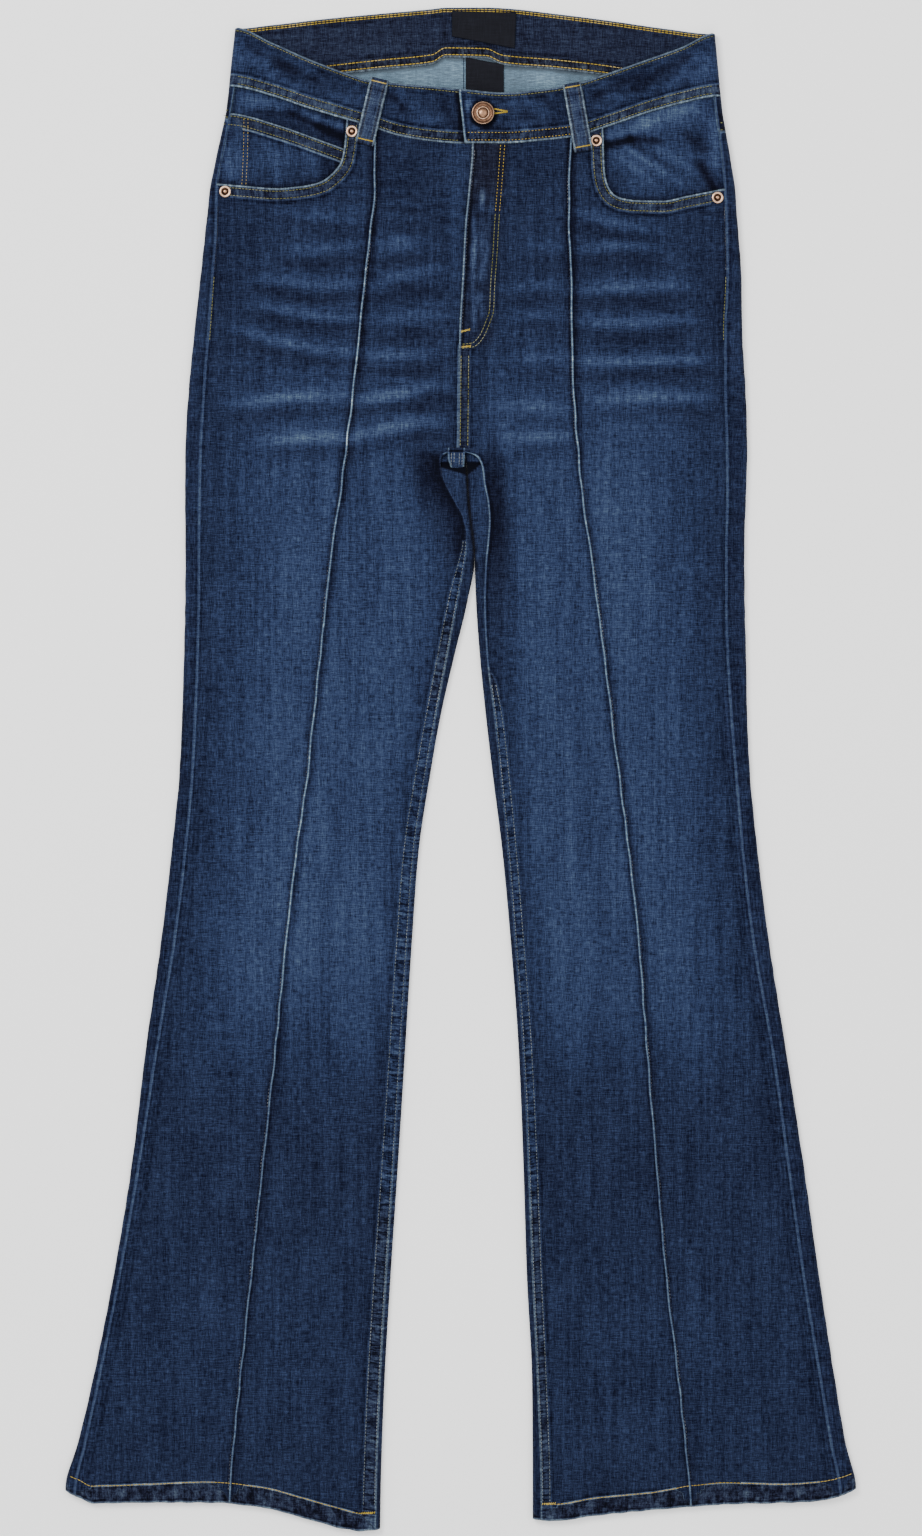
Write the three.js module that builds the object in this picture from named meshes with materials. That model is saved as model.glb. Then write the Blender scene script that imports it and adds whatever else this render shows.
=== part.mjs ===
import * as THREE from "three";

// Bootcut jeans lying on their back on a flat surface, fly up, in millimetres.
// +X is the wearer's left, +Y runs to the waist, +Z is up and z = 0 is the surface.
// The origin is on the surface, in the middle of the garment's outline.
// Every cloth piece is a closed wall between an outer and an inner grid of points.
// Each leg is a flattened tube: the back panel lies on the surface and rolls up round
// the outseam and the inseam, and the front panel closes the tube from above.

// Thicknesses and gaps
const DENIM = 1.2; // one layer
const BAND = 2.3; // the waistband, folded double
const HEM = 2.2; // the legs' turned-up hems
const LOOP = 1.8; // a belt loop, folded in three
const LABEL = 0.9;
const GAP = 0.3; // between pieces at a seam, and between layers
const LAYER = DENIM + GAP; // how much higher one denim layer lies on another

// Rolls at the edges
const OUTSEAM_ROLL = 3; // half width of the roll round the outseam
const INSEAM_ROLL = 2.4;
const BAND_ROLL = 3.2;
const ROLL_STEPS = 4; // facets of half a turn

// The raised pintuck down the middle of each front
const TUCK_HEIGHT = 1.2;
const TUCK_HALF_WIDTH = 1.8;

// The left front's fly edge laps over the right front
const FLY_LIFT = 1.6;
const FLY_LIFT_WIDTH = 36;
const FLY_LIFT_ENDS = [308, 272]; // y where it starts to fall, and where it is gone
const BAND_LAP = 1.1; // extra rise of the waistband's upper end

const TOP_ZONE = 385; // below this the rows of a front panel are level
const HEM_ZONE = -480; // above this too
const CROTCH_FORK = 212; // where the back panels start to roll up round the inseams

// The legs at stations down the garment. outer and fold are the flattened tube's two
// edges, and above the crotch fold is the centre back seam. side is the side seam and
// tuck the pintuck. edge is the front's inner edge: fly, crotch curve, then inseam.
const LEG_COLUMNS = ["y", "outer", "side", "tuck", "edge", "fold"];
const LEGS = {
  right: table(LEG_COLUMNS, [
    [527, -160.5, -157, -62, 15, 2],
    [500, -163.5, -159, -62, 15, 2],
    [470, -166.7, -163.2, -62, 14.8, 2],
    [440, -173, -169, -61, 14.3, 1.5],
    [412, -178.5, -173.7, -61.2, 12, 1.5],
    [385, -181.5, -174.2, -64, 9.4, 1],
    [350, -185.3, -176.7, -68, 7.6, 1],
    [312, -189.5, -179.4, -72, 5.6, 0.5],
    [304, -190.4, -180, -73, -1.2, 0.5],
    [265, -194, -183, -77, -1.6, 0.5],
    [229, -196, -185, -81.5, -2, 0],
    [223, -196.2, -185.2, -82.3, -12.6, -0.3],
    [212, -196.3, -185.6, -83.5, -14, 1.6],
    [203, -196.4, -185.8, -84.6, -11.2, 2.6],
    [190, -196.3, -186, -86.4, -4.4, 4.5],
    [177, -196.1, -186.1, -88.4, 2, 6.8],
    [160, -196, -186.2, -91.2, 4.6, 9],
    [145, -196, -186.3, -93, 3, 9.4],
    [120, -196.2, -186.4, -95.7, -2, 5],
    [80, -197.1, -187.3, -100, -9.5, -4.6],
    [40, -198.3, -188.9, -104.4, -17, -13.8],
    [0, -200.1, -190.8, -108.5, -24, -21],
    [-60, -206, -196.2, -117, -33, -30],
    [-120, -213, -203.5, -124, -37.5, -34.5],
    [-200, -224.3, -216.5, -131.9, -42.5, -39.5],
    [-280, -234, -228.8, -140.6, -47.5, -44.5],
    [-360, -247, -242.8, -149, -52.8, -49.8],
    [-440, -263, -258.8, -157.5, -57.4, -54.4],
    [-480, -272.6, -267.4, -161.5, -59, -56],
    [-500, -277.8, -271.8, -163.3, -59.7, -56.7],
    [-513, -281.5, -274.5, -164.2, -60, -56.9],
    [-545, -281.5, -275.5, -165, -60.5, -57.4],
  ]),
  left: table(LEG_COLUMNS, [
    [527, 180.5, 177, 77, 9, 2.4],
    [500, 183, 178.6, 78, 9, 2.4],
    [470, 186, 181.4, 78.5, 8.8, 2.4],
    [440, 191, 185.7, 78.2, 8.3, 1.9],
    [412, 195.3, 188.2, 77, 6, 1.9],
    [385, 197.3, 189.2, 77, 3.4, 1.4],
    [350, 199.8, 189.8, 78.7, 1.6, 1.4],
    [312, 200.4, 188.2, 79, -0.4, 0.9],
    [304, 200.7, 187.9, 79.1, -0.8, 0.9],
    [265, 203, 188.5, 80.5, -1.2, 0.9],
    [229, 204, 189.5, 83.3, -1.6, 0.4],
    [223, 204, 189.8, 84, 12, 0.1],
    [212, 203.8, 190, 84.8, 16, 2.4],
    [203, 203.2, 190, 85.5, 16.8, 3.4],
    [190, 203, 189.8, 87, 19.4, 5.3],
    [177, 202.5, 189.4, 88.7, 20.4, 7.6],
    [160, 202, 189, 91.7, 19.2, 9.8],
    [145, 202, 189, 93.8, 18, 10.2],
    [120, 202.2, 189, 96.9, 16.9, 10.8],
    [80, 203.2, 190.1, 102.2, 18.7, 13.6],
    [40, 203.9, 192.5, 107, 23.7, 17.6],
    [0, 205.7, 195.7, 112.1, 27.7, 22.2],
    [-60, 211.5, 201, 119.8, 33.5, 29.7],
    [-120, 219, 208, 126.5, 38.3, 35.3],
    [-200, 231.5, 222, 132.6, 44.2, 41.2],
    [-280, 243.8, 233, 139.2, 48, 44.5],
    [-360, 255, 244, 146.2, 51, 47],
    [-440, 267.2, 257, 155.6, 54.7, 50.8],
    [-480, 274, 263.6, 159.8, 56, 52],
    [-500, 278, 267.5, 161.5, 56.7, 51.8],
    [-513, 281.5, 270, 163, 57.1, 51.2],
    [-545, 281.5, 271.5, 165, 57.2, 51.2],
  ]),
};

// How high the top cloth lies: at the outseam, at the inseam or centre front, and how
// far it sags between them.
const HEIGHTS = table(["y", "outseam", "inseam", "sag"], [
  [527, 8.4, 6.8, 0.2],
  [440, 8, 6.8, 0.3],
  [385, 7.8, 6.7, 0.4],
  [312, 7, 6.5, 0.9],
  [229, 6.4, 6.2, 1.2],
  [120, 6.1, 6, 1.7],
  [0, 5.8, 5.6, 1.8],
  [-400, 5.6, 5.4, 1.6],
  [-500, 6.2, 6.2, 0.8],
  [-545, 6.4, 6.4, 0.5],
]);

// The longest soft folds of the top cloth: a ridge, or a trough where height is below 0,
// along a line, with the distance over which it fades
const FOLDS = table(["x1", "y1", "x2", "y2", "width", "height"], [
  [-136, -10, -146, -195, 15, 0.9],
  [-66, -45, -74, -175, 13, 0.8],
  [-11, 222, -15, 280, 7, -0.8],
  [-24, 150, -40, 50, 9, -0.7],
  [82, 60, 98, -205, 15, 0.9],
  [138, 130, 162, -30, 17, 0.9],
  [32, 185, 38, 60, 9, -0.8],
]);

// The waistband's edges, front and back
const FRONT_BAND = table(["x", "top", "bottom"], [
  [-167, 526.5, 485.7],
  [-160, 526.5, 485.2],
  [-135, 516.2, 479],
  [-109, 504.7, 470.3],
  [-81, 494, 461.9],
  [-66, 489.3, 457.6],
  [-43, 486.8, 450.2],
  [-20, 484.8, 446.5],
  [0, 482.8, 445],
  [30, 480.3, 445],
  [58, 482.8, 447.2],
  [80, 486.4, 449.7],
  [107, 495, 457.8],
  [132, 503.7, 466.5],
  [157, 512.6, 473.5],
  [181, 522.6, 478.3],
  [187, 522.6, 478.5],
]);
const BACK_BAND = table(["x", "top", "bottom"], [
  [-167, 526.5, 485.7],
  [-160, 526.5, 485.4],
  [-135, 529, 488],
  [-93, 533.8, 494],
  [-58, 537.1, 498],
  [-20, 540.5, 503],
  [2, 542, 506.5],
  [18, 541.6, 505],
  [30, 541.1, 501.5],
  [68, 537, 498.2],
  [107, 532, 493.5],
  [145, 526.5, 486],
  [181, 522.6, 478.5],
  [187, 522.6, 478.5],
]);
const BAND_ENDS = { under: 22, over: { top: -1, bottom: 3.2 } }; // x of its two ends

// Pocket mouths, from the waistband round to the side seam
const MOUTHS = {
  right: table(["x", "y"], [
    [-80.9, 461.5],
    [-82.3, 444.4],
    [-84.7, 432],
    [-90.2, 424.1],
    [-99.8, 417],
    [-114.1, 413.8],
    [-131.4, 412.4],
    [-150.6, 413.8],
    [-173.6, 415.8],
  ]),
  left: table(["x", "y"], [
    [101, 455.6],
    [101.4, 442.4],
    [101.8, 429.7],
    [103.1, 418.6],
    [107.5, 409.4],
    [113.8, 405.6],
    [123.4, 404],
    [144, 403.5],
    [159.8, 406.7],
    [188.1, 412.3],
  ]),
};
// Where the pocket facings end, under the fronts
const FACING_ENDS = { right: { x: -73, y: 404 }, left: { x: 93, y: 395 } };
const COIN_POCKET_TOP = table(["x", "y"], [
  [-165, 466],
  [-75, 437.7],
]);

// The yokes' lower seam, at the side seam and at the centre back
const YOKE_SEAM = {
  right: { side: 462, centre: 440 },
  left: { side: 453, centre: 440 },
};

// Hems: the stitch line where the turned-up cloth ends, and the folded edge
const HEMS = {
  right: table(["x", "stitch", "edge"], [
    [-282, -501.5, -513.5],
    [-272, -505.8, -517.8],
    [-262, -510.2, -522.3],
    [-222, -509, -521.8],
    [-180, -507.5, -521.8],
    [-143, -511, -525],
    [-110, -519.5, -533.2],
    [-85, -526.5, -540],
    [-70, -529.8, -542],
    [-56, -529.8, -540.4],
  ]),
  left: table(["x", "stitch", "edge"], [
    [50, -522.3, -533.6],
    [66, -523.3, -534.8],
    [96, -518.8, -531],
    [137, -514.8, -527],
    [165, -510, -524.7],
    [190, -508, -523],
    [229, -509, -522],
    [251, -507.8, -521],
    [268, -504.8, -517.8],
    [282, -500, -512],
  ]),
};

// Belt loops: the middle of each end, and the path above the waistband, as shares of
// the length and heights over what the loop lies on
const LOOPS = {
  right: { top: [-57.6, 490], bottom: [-68.4, 444.2], half: 6.3 },
  left: { top: [78.9, 486.8], bottom: [87.3, 439.3], half: 6.2 },
};
const LOOP_PATH = table(["share", "rise"], [
  [0, 0],
  [0.07, 0.1],
  [0.16, 1.2],
  [0.4, 1.6],
  [0.62, 1.5],
  [0.8, 1.1],
  [0.9, 0.5],
  [1, 0.3],
]);

// Metal
const BUTTON = { x: 15.8, y: 465.7, radius: 8.2, height: 4.2 };
const RIVET = { radius: 4, height: 1.7 };
const RIVETS = {
  right_front: ["right", -77.4, 453.2],
  right_side: ["right", -167.5, 410.3],
  left_front: ["left", 96.4, 446.6],
  left_side: ["left", 182.6, 406],
};

// Labels, by their four corners from the top left on
const WAISTBAND_LABEL = [[-6, 539], [39.5, 538], [38.2, 513], [-6, 521.5]];
const SIZE_LABEL = { left: 3.8, right: 30.4, bottom: 476 };

// Tables

function table(columns, rows) {
  return rows.map((row) =>
    Object.fromEntries(columns.map((name, i) => [name, row[i]])),
  );
}

// The value of a column where another column has the value at, held past the ends
function read(rows, by, at, column) {
  const up = rows[0][by] < rows[rows.length - 1][by] ? 1 : -1;
  const next = rows.findIndex((row) => up * row[by] >= up * at);
  if (next === 0) return rows[0][column];
  if (next < 0) return rows[rows.length - 1][column];
  const [a, b] = [rows[next - 1], rows[next]];
  return mix(a[column], b[column], (at - a[by]) / (b[by] - a[by]));
}

function mix(a, b, share) {
  return a + (b - a) * share;
}

const clamp = THREE.MathUtils.clamp;
const smooth = (share) => THREE.MathUtils.smoothstep(share, 0, 1);
const legAt = (side, y, column) => read(LEGS[side], "y", y, column);
const heightAt = (y, column) => read(HEIGHTS, "y", y, column);
const towardsFold = (side) => (side === "right" ? 1 : -1); // sign of x

// How high the top of the front lies at a point, without its own thickness
function deck(side, x, y) {
  const [from, to] = [legAt(side, y, "side"), legAt(side, y, "fold")];
  const share = clamp((x - from) / (to - from), 0, 1);
  const level = mix(heightAt(y, "outseam"), heightAt(y, "inseam"), share);
  const sag = heightAt(y, "sag") * 4 * share * (1 - share);
  return level - sag + softFolds(x, y) + flyLift(side, x, y);
}

function softFolds(x, y) {
  let sum = 0;
  for (const { x1, y1, x2, y2, width, height } of FOLDS) {
    const [dx, dy] = [x2 - x1, y2 - y1];
    const along = ((x - x1) * dx + (y - y1) * dy) / (dx * dx + dy * dy);
    const share = clamp(along, 0, 1);
    const away = Math.hypot(x - x1 - share * dx, y - y1 - share * dy);
    sum += height * Math.exp(-((away / width) ** 2));
  }
  return sum;
}

function flyLift(side, x, y) {
  if (side === "right") return 0;
  const [start, end] = FLY_LIFT_ENDS;
  const along = smooth((y - end) / (start - end));
  const across = smooth(1 - (x - legAt(side, y, "edge")) / FLY_LIFT_WIDTH);
  return FLY_LIFT * along * across;
}

function tuckRidge(side, x, y) {
  const away = Math.abs(x - legAt(side, y, "tuck")) / TUCK_HALF_WIDTH;
  return TUCK_HEIGHT * Math.max(0, 1 - away);
}

// Walls

// One closed wall: outer and inner hold points by row and column, and keep says which
// cells of the grid are there.
function wall(outer, inner, keep = () => true) {
  const [rows, columns] = [outer.length, outer[0].length];
  const has = (r, c) =>
    r >= 0 && c >= 0 && r < rows - 1 && c < columns - 1 && keep(r, c);
  const corners = [];
  const quad = (...p) => corners.push(p[0], p[1], p[2], p[0], p[2], p[3]);
  for (let r = 0; r < rows - 1; r++)
    for (let c = 0; c < columns - 1; c++) {
      if (!has(r, c)) continue;
      const ring = [[r, c], [r + 1, c], [r + 1, c + 1], [r, c + 1]];
      const beyond = [has(r, c - 1), has(r + 1, c), has(r, c + 1), has(r - 1, c)];
      quad(...ring.map(([i, j]) => outer[i][j]));
      quad(...ring.map(([i, j]) => inner[i][j]).reverse());
      ring.forEach(([i, j], k) => {
        const [m, n] = ring[(k + 1) % 4];
        if (!beyond[k]) quad(outer[m][n], outer[i][j], inner[i][j], inner[m][n]);
      });
    }
  if (volume(corners) < 0)
    for (let i = 0; i < corners.length; i += 3)
      [corners[i], corners[i + 1]] = [corners[i + 1], corners[i]];
  const geometry = new THREE.BufferGeometry();
  const positions = new THREE.Float32BufferAttribute(corners.flat(), 3);
  geometry.setAttribute("position", positions);
  geometry.computeVertexNormals();
  return geometry;
}

function volume(corners) {
  const vectors = corners.map((p) => new THREE.Vector3(...p));
  let sum = 0;
  for (let i = 0; i < vectors.length; i += 3)
    sum += vectors[i].dot(vectors[i + 1].clone().cross(vectors[i + 2]));
  return sum / 6;
}

// A wall that lies flat: columns is a list of functions of y that give x, rows one of
// functions of x that give y, and top gives z.
function sheet(columns, rows, top, thickness) {
  const outer = rows.map((rowY) =>
    columns.map((columnX) => {
      let [x, y] = [columnX(0), rowY(columnX(0))];
      for (let i = 0; i < 6; i++) [x, y] = [columnX(y), rowY(columnX(y))];
      return [x, y, top(x, y)];
    }),
  );
  const inner = outer.map((row) =>
    row.map(([x, y, z]) => [x, y, z - thickness(x, y)]),
  );
  return [outer, inner];
}

// Front panels

function mouthAt(side, x) {
  const rows = MOUTHS[side];
  const inFly = towardsFold(side) * (x - rows[0].x) > 0;
  return inFly ? read(FRONT_BAND, "x", x, "bottom") - GAP : read(rows, "x", x, "y");
}

// x of a front panel's columns, each a function of y: they pass through the points of
// the pocket mouth, run down both sides of the tuck and end at the inner edge.
function frontColumns(side) {
  const sign = towardsFold(side);
  const ridge = (y, steps) => legAt(side, y, "tuck") + sign * steps * TUCK_HALF_WIDTH;
  const outside = MOUTHS[side].map(({ x, y }) => {
    const share = (x - legAt(side, y, "side")) / (ridge(y, -1) - legAt(side, y, "side"));
    return (at) => mix(legAt(side, at, "side"), ridge(at, -1), Math.max(0, share));
  });
  const inside = [0.25, 0.5, 0.72, 0.88, 1].map(
    (share) => (at) => mix(ridge(at, 1), legAt(side, at, "edge"), share),
  );
  outside[outside.length - 1] = (at) => legAt(side, at, "side");
  const tuck = [-1, 0, 1].map((steps) => (at) => ridge(at, steps));
  const beside = (at) => mix(outside[outside.length - 1](at), ridge(at, -1), 0.5);
  return [...outside.reverse(), beside, ...tuck, ...inside];
}

const stationsBetween = (high, low) =>
  LEGS.right.map((row) => row.y).filter((y) => y < high && y >= low);

function hemRows(side) {
  const hem = (x, column) => read(HEMS[side], "x", x, column);
  return [
    (x) => hem(x, "stitch") + 1.5,
    (x) => hem(x, "stitch"),
    (x) => hem(x, "edge"),
  ];
}

function hemThickness(side, x, y) {
  return y < read(HEMS[side], "x", x, "stitch") + 1 ? HEM : DENIM;
}

function frontLeg(side) {
  const topRows = [0, 0.15, 0.4, 0.7, 1].map(
    (share) => (x) => mix(mouthAt(side, x), TOP_ZONE, share),
  );
  const levelRows = stationsBetween(TOP_ZONE, HEM_ZONE).map((y) => () => y);
  const rows = [...topRows, ...levelRows, ...hemRows(side)];
  const top = (x, y) => deck(side, x, y) + tuckRidge(side, x, y);
  const thickness = (x, y) => hemThickness(side, x, y);
  return wall(...sheet(frontColumns(side), rows, top, thickness));
}

// Back panels and yokes

// A section of the flattened tube at y: points from the side seam on top, out and round
// the outseam roll, along the surface, and round the inseam roll to the inseam. Each has
// its outer and its inner place. share runs along the flat part.
function sectionPoint(side, column, y, thickness) {
  const sign = towardsFold(side);
  const at = (name) => legAt(side, y, name);
  const roll = (edge, radius, outward, turn) => {
    const half = deck(side, edge - outward * radius, y) / 2;
    const place = (inset) => [
      edge - outward * radius + outward * (radius - inset) * Math.sin(turn),
      y,
      half - (half - inset) * Math.cos(turn),
    ];
    return [place(0), place(thickness)];
  };
  const flap = (x) => {
    const z = deck(side, x, y);
    return [[x, y, z], [x, y, z - thickness]];
  };
  if (column.flap === "side") return flap(at("side") - sign * GAP);
  if (column.flap === "inseam") return flap(at("edge") + sign * GAP);
  if (column.outseam !== undefined)
    return roll(at("outer"), OUTSEAM_ROLL, -sign, column.outseam);
  if (column.inseam !== undefined)
    return roll(at("fold"), INSEAM_ROLL, sign, column.inseam);
  const open = y > CROTCH_FORK ? 0 : INSEAM_ROLL;
  const from = at("outer") + sign * OUTSEAM_ROLL;
  const x = mix(from, at("fold") - sign * open, column.flat);
  return [[x, y, 0], [x, y, thickness]];
}

const halfTurn = Array.from(
  { length: ROLL_STEPS + 1 },
  (_, i) => (Math.PI * i) / ROLL_STEPS,
);
const OUTSEAM_COLUMNS = [
  { flap: "side" },
  ...halfTurn.toReversed().map((outseam) => ({ outseam })),
];
const INSEAM_COLUMNS = [
  ...halfTurn.slice(1).map((inseam) => ({ inseam })),
  { flap: "inseam" },
];

function backGrid(side, columns, rows) {
  const points = rows.map((rowY) =>
    columns.map((column) => {
      let [y, pair] = [rowY(0, column), null];
      for (let i = 0; i < 6; i++) {
        pair = sectionPoint(side, column, y, DENIM);
        y = rowY(pair[0][0], column);
      }
      return sectionPoint(side, column, y, hemThickness(side, pair[0][0], y));
    }),
  );
  return [0, 1].map((which) => points.map((row) => row.map((pair) => pair[which])));
}

function yokeSeam(side, x) {
  const { side: atSide, centre } = YOKE_SEAM[side];
  const [from, to] = [legAt(side, atSide, "side"), legAt(side, centre, "fold")];
  return mix(atSide, centre, clamp((x - from) / (to - from), 0, 1));
}

function backLeg(side) {
  const columns = [...OUTSEAM_COLUMNS, { flat: 0.5 }, { flat: 1 }, ...INSEAM_COLUMNS];
  const lastFlat = columns.length - INSEAM_COLUMNS.length - 1;
  const rows = [
    (x) => yokeSeam(side, x) - GAP / 2,
    ...stationsBetween(YOKE_SEAM[side].centre - 1, HEM_ZONE).map((y) => () => y),
    ...hemRows(side),
  ];
  const rollsFrom = 1 + stationsBetween(YOKE_SEAM[side].centre - 1, CROTCH_FORK).length - 1;
  const keep = (r, c) => r >= rollsFrom || c < lastFlat;
  return wall(...backGrid(side, columns, rows), keep);
}

function backYoke(side) {
  const flats = [0.2, 0.4, 0.6, 0.78, 0.85, 0.92, 1].map((flat) => ({ flat }));
  const top = (x, { flat }) =>
    read(flat === undefined ? FRONT_BAND : BACK_BAND, "x", x, "bottom") - GAP;
  const seam = (x) => yokeSeam(side, x) + GAP / 2;
  const rows = [top, (x, column) => mix(top(x, column), seam(x), 0.5), seam];
  return wall(...backGrid(side, [...OUTSEAM_COLUMNS, ...flats], rows));
}

// Waistband

// The strip from its under end on the right front, round the right fold, across the
// back, round the left fold and over to its lapped end on the left front
function waistband() {
  const columns = [
    ...[BAND_ENDS.under, 0, -20, -43, -66, -81, -109, -135].map((x) => ({
      on: "right",
      x,
    })),
    ...halfTurn.toReversed().map((turn) => ({ fold: "right", turn })),
    ...[-135, -93, -58, -20, 2, 18, 30, 68, 107, 145].map((x) => ({ x })),
    ...halfTurn.map((turn) => ({ fold: "left", turn })),
    ...[157, 132, 107, 80, 58, 30, 12, BAND_ENDS.over].map((x) => ({ on: "left", x })),
  ];
  const grids = [0, BAND].map((inset) =>
    columns.map((column) =>
      ["top", "bottom"].map((edge) => bandPoint(column, edge, inset)),
    ),
  );
  return wall(...grids);
}

function bandPoint({ on, fold, turn, x }, edge, inset) {
  if (fold) {
    const outward = -towardsFold(fold);
    const edgeX = legAt(fold, read(FRONT_BAND, "x", outward * 200, edge), "outer");
    const middle = edgeX - outward * BAND_ROLL;
    const y = read(FRONT_BAND, "x", edgeX, edge);
    const half = bandTop(fold, middle) / 2;
    return [
      middle + outward * (BAND_ROLL - inset) * Math.sin(turn),
      y,
      half - (half - inset) * Math.cos(turn),
    ];
  }
  if (!on) return [x, read(BACK_BAND, "x", x, edge), inset];
  const at = typeof x === "number" ? x : x[edge];
  return [at, read(FRONT_BAND, "x", at, edge), bandTop(on, at) - inset];
}

// The waistband's upper face lies half its extra thickness above the panel's.
function bandTop(side, x) {
  const y = read(FRONT_BAND, "x", x, "bottom");
  const lap = side === "left" ? BAND_LAP * smooth((70 - x) / 40) : 0;
  return deck(side, x, y) + (BAND - DENIM) / 2 + lap;
}

// Pockets

function underFront(side, layers, topRow) {
  const { x: lastX, y: lastY } = FACING_ENDS[side];
  const inset = towardsFold(side) * GAP;
  const columns = [0, 0.15, 0.4, 0.65, 0.85, 1].map(
    (share) => (y) => mix(legAt(side, y, "side") + inset, lastX, share),
  );
  const rows = [0, 0.5, 1].map((share) => (x) => mix(topRow(x), lastY, share));
  const top = (x, y) => deck(side, x, y) - layers * LAYER;
  return wall(...sheet(columns, rows, top, () => DENIM));
}

const pocketFacing = (side) =>
  underFront(
    side,
    side === "right" ? 2 : 1, // the coin pocket lies on the right one
    (x) => read(FRONT_BAND, "x", x, "bottom") - GAP,
  );

const coinPocket = () =>
  underFront("right", 1, (x) => read(COIN_POCKET_TOP, "x", x, "y"));

// Belt loops

function beltLoop(side) {
  const { top, bottom, half } = LOOPS[side];
  const along = new THREE.Vector2(bottom[0] - top[0], bottom[1] - top[1]);
  const across = new THREE.Vector2(-along.y, along.x).normalize();
  const outer = LOOP_PATH.map(({ share, rise }) =>
    [-1, 1].map((edge) => {
      const x = top[0] + share * along.x + edge * half * across.x;
      const y = top[1] + share * along.y + edge * half * across.y;
      const middleX = top[0] + share * along.x;
      return [x, y, bandTop(side, middleX) + GAP + rise + LOOP];
    }),
  );
  const inner = outer.map((row) => row.map(([x, y, z]) => [x, y, z - LOOP]));
  return wall(outer, inner);
}

// Labels

function patch([a, b, c, d], bottom) {
  const grid = (z) => [[a, b], [d, c]].map((row) => row.map(([x, y]) => [x, y, z]));
  return wall(grid(bottom + LABEL), grid(bottom));
}

const waistbandLabel = () => patch(WAISTBAND_LABEL, BAND + GAP);

function sizeLabel() {
  const { left, right, bottom } = SIZE_LABEL;
  const top = (x) => read(BACK_BAND, "x", x, "bottom") - GAP;
  const corners = [[left, top(left)], [right, top(right)], [right, bottom], [left, bottom]];
  return patch(corners, DENIM + GAP);
}

// Metal, turned about Z: profiles are shares of the radius and of the height

function turned(profile, radius, height, steps) {
  const points = profile.map(([r, z]) => new THREE.Vector2(r * radius, z * height));
  return new THREE.LatheGeometry(points, steps).rotateX(Math.PI / 2);
}

const BUTTON_PROFILE = [
  [0, 0],
  [0.45, 0],
  [0.45, 0.3],
  [0.9, 0.36],
  [1, 0.55],
  [0.97, 0.84],
  [0.86, 0.94],
  [0.78, 0.82],
  [0.52, 0.8],
  [0.46, 0.93],
  [0.3, 1],
  [0, 1],
];
const RIVET_PROFILE = [
  [0, 0],
  [1, 0],
  [1, 0.3],
  [0.78, 0.72],
  [0.52, 0.55],
  [0.4, 0.62],
  [0.26, 0.95],
  [0, 1],
];

function button() {
  const geometry = turned(BUTTON_PROFILE, BUTTON.radius, BUTTON.height, 24);
  return geometry.translate(BUTTON.x, BUTTON.y, bandTop("left", BUTTON.x) + GAP);
}

function rivet(side, x, y) {
  const under = [-1, 0, 1].flatMap((i) =>
    [-1, 0, 1].map((j) => deck(side, x + i * RIVET.radius, y + j * RIVET.radius)),
  );
  const geometry = turned(RIVET_PROFILE, RIVET.radius, RIVET.height, 16);
  return geometry.translate(x, y, Math.max(...under) + GAP);
}

// The garment

const denim = new THREE.MeshStandardMaterial({ color: 0x2b4268, roughness: 0.9 });
const label = new THREE.MeshStandardMaterial({ color: 0x14161f, roughness: 0.75 });
const copper = new THREE.MeshStandardMaterial({
  color: 0xb0765a,
  roughness: 0.35,
  metalness: 1,
});

const jeans = new THREE.Group();
function add(name, geometry, material = denim) {
  const mesh = new THREE.Mesh(geometry, material);
  mesh.name = name;
  jeans.add(mesh);
}

for (const side of ["right", "left"]) {
  add(`front_leg_${side}`, frontLeg(side));
  add(`back_leg_${side}`, backLeg(side));
  add(`back_yoke_${side}`, backYoke(side));
  add(`pocket_facing_${side}`, pocketFacing(side));
  add(`belt_loop_${side}`, beltLoop(side));
}
add("coin_pocket", coinPocket());
add("waistband", waistband());
add("waistband_label", waistbandLabel(), label);
add("size_label", sizeLabel(), label);
add("button", button(), copper);
for (const [name, [side, x, y]] of Object.entries(RIVETS))
  add(`rivet_${name}`, rivet(side, x, y), copper);

export default jeans;
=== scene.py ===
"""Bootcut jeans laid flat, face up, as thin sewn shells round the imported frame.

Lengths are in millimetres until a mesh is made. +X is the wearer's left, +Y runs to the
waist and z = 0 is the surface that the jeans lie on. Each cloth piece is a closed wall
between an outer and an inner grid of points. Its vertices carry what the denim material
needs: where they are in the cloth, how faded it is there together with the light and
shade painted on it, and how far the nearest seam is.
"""

from functools import partial

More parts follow.
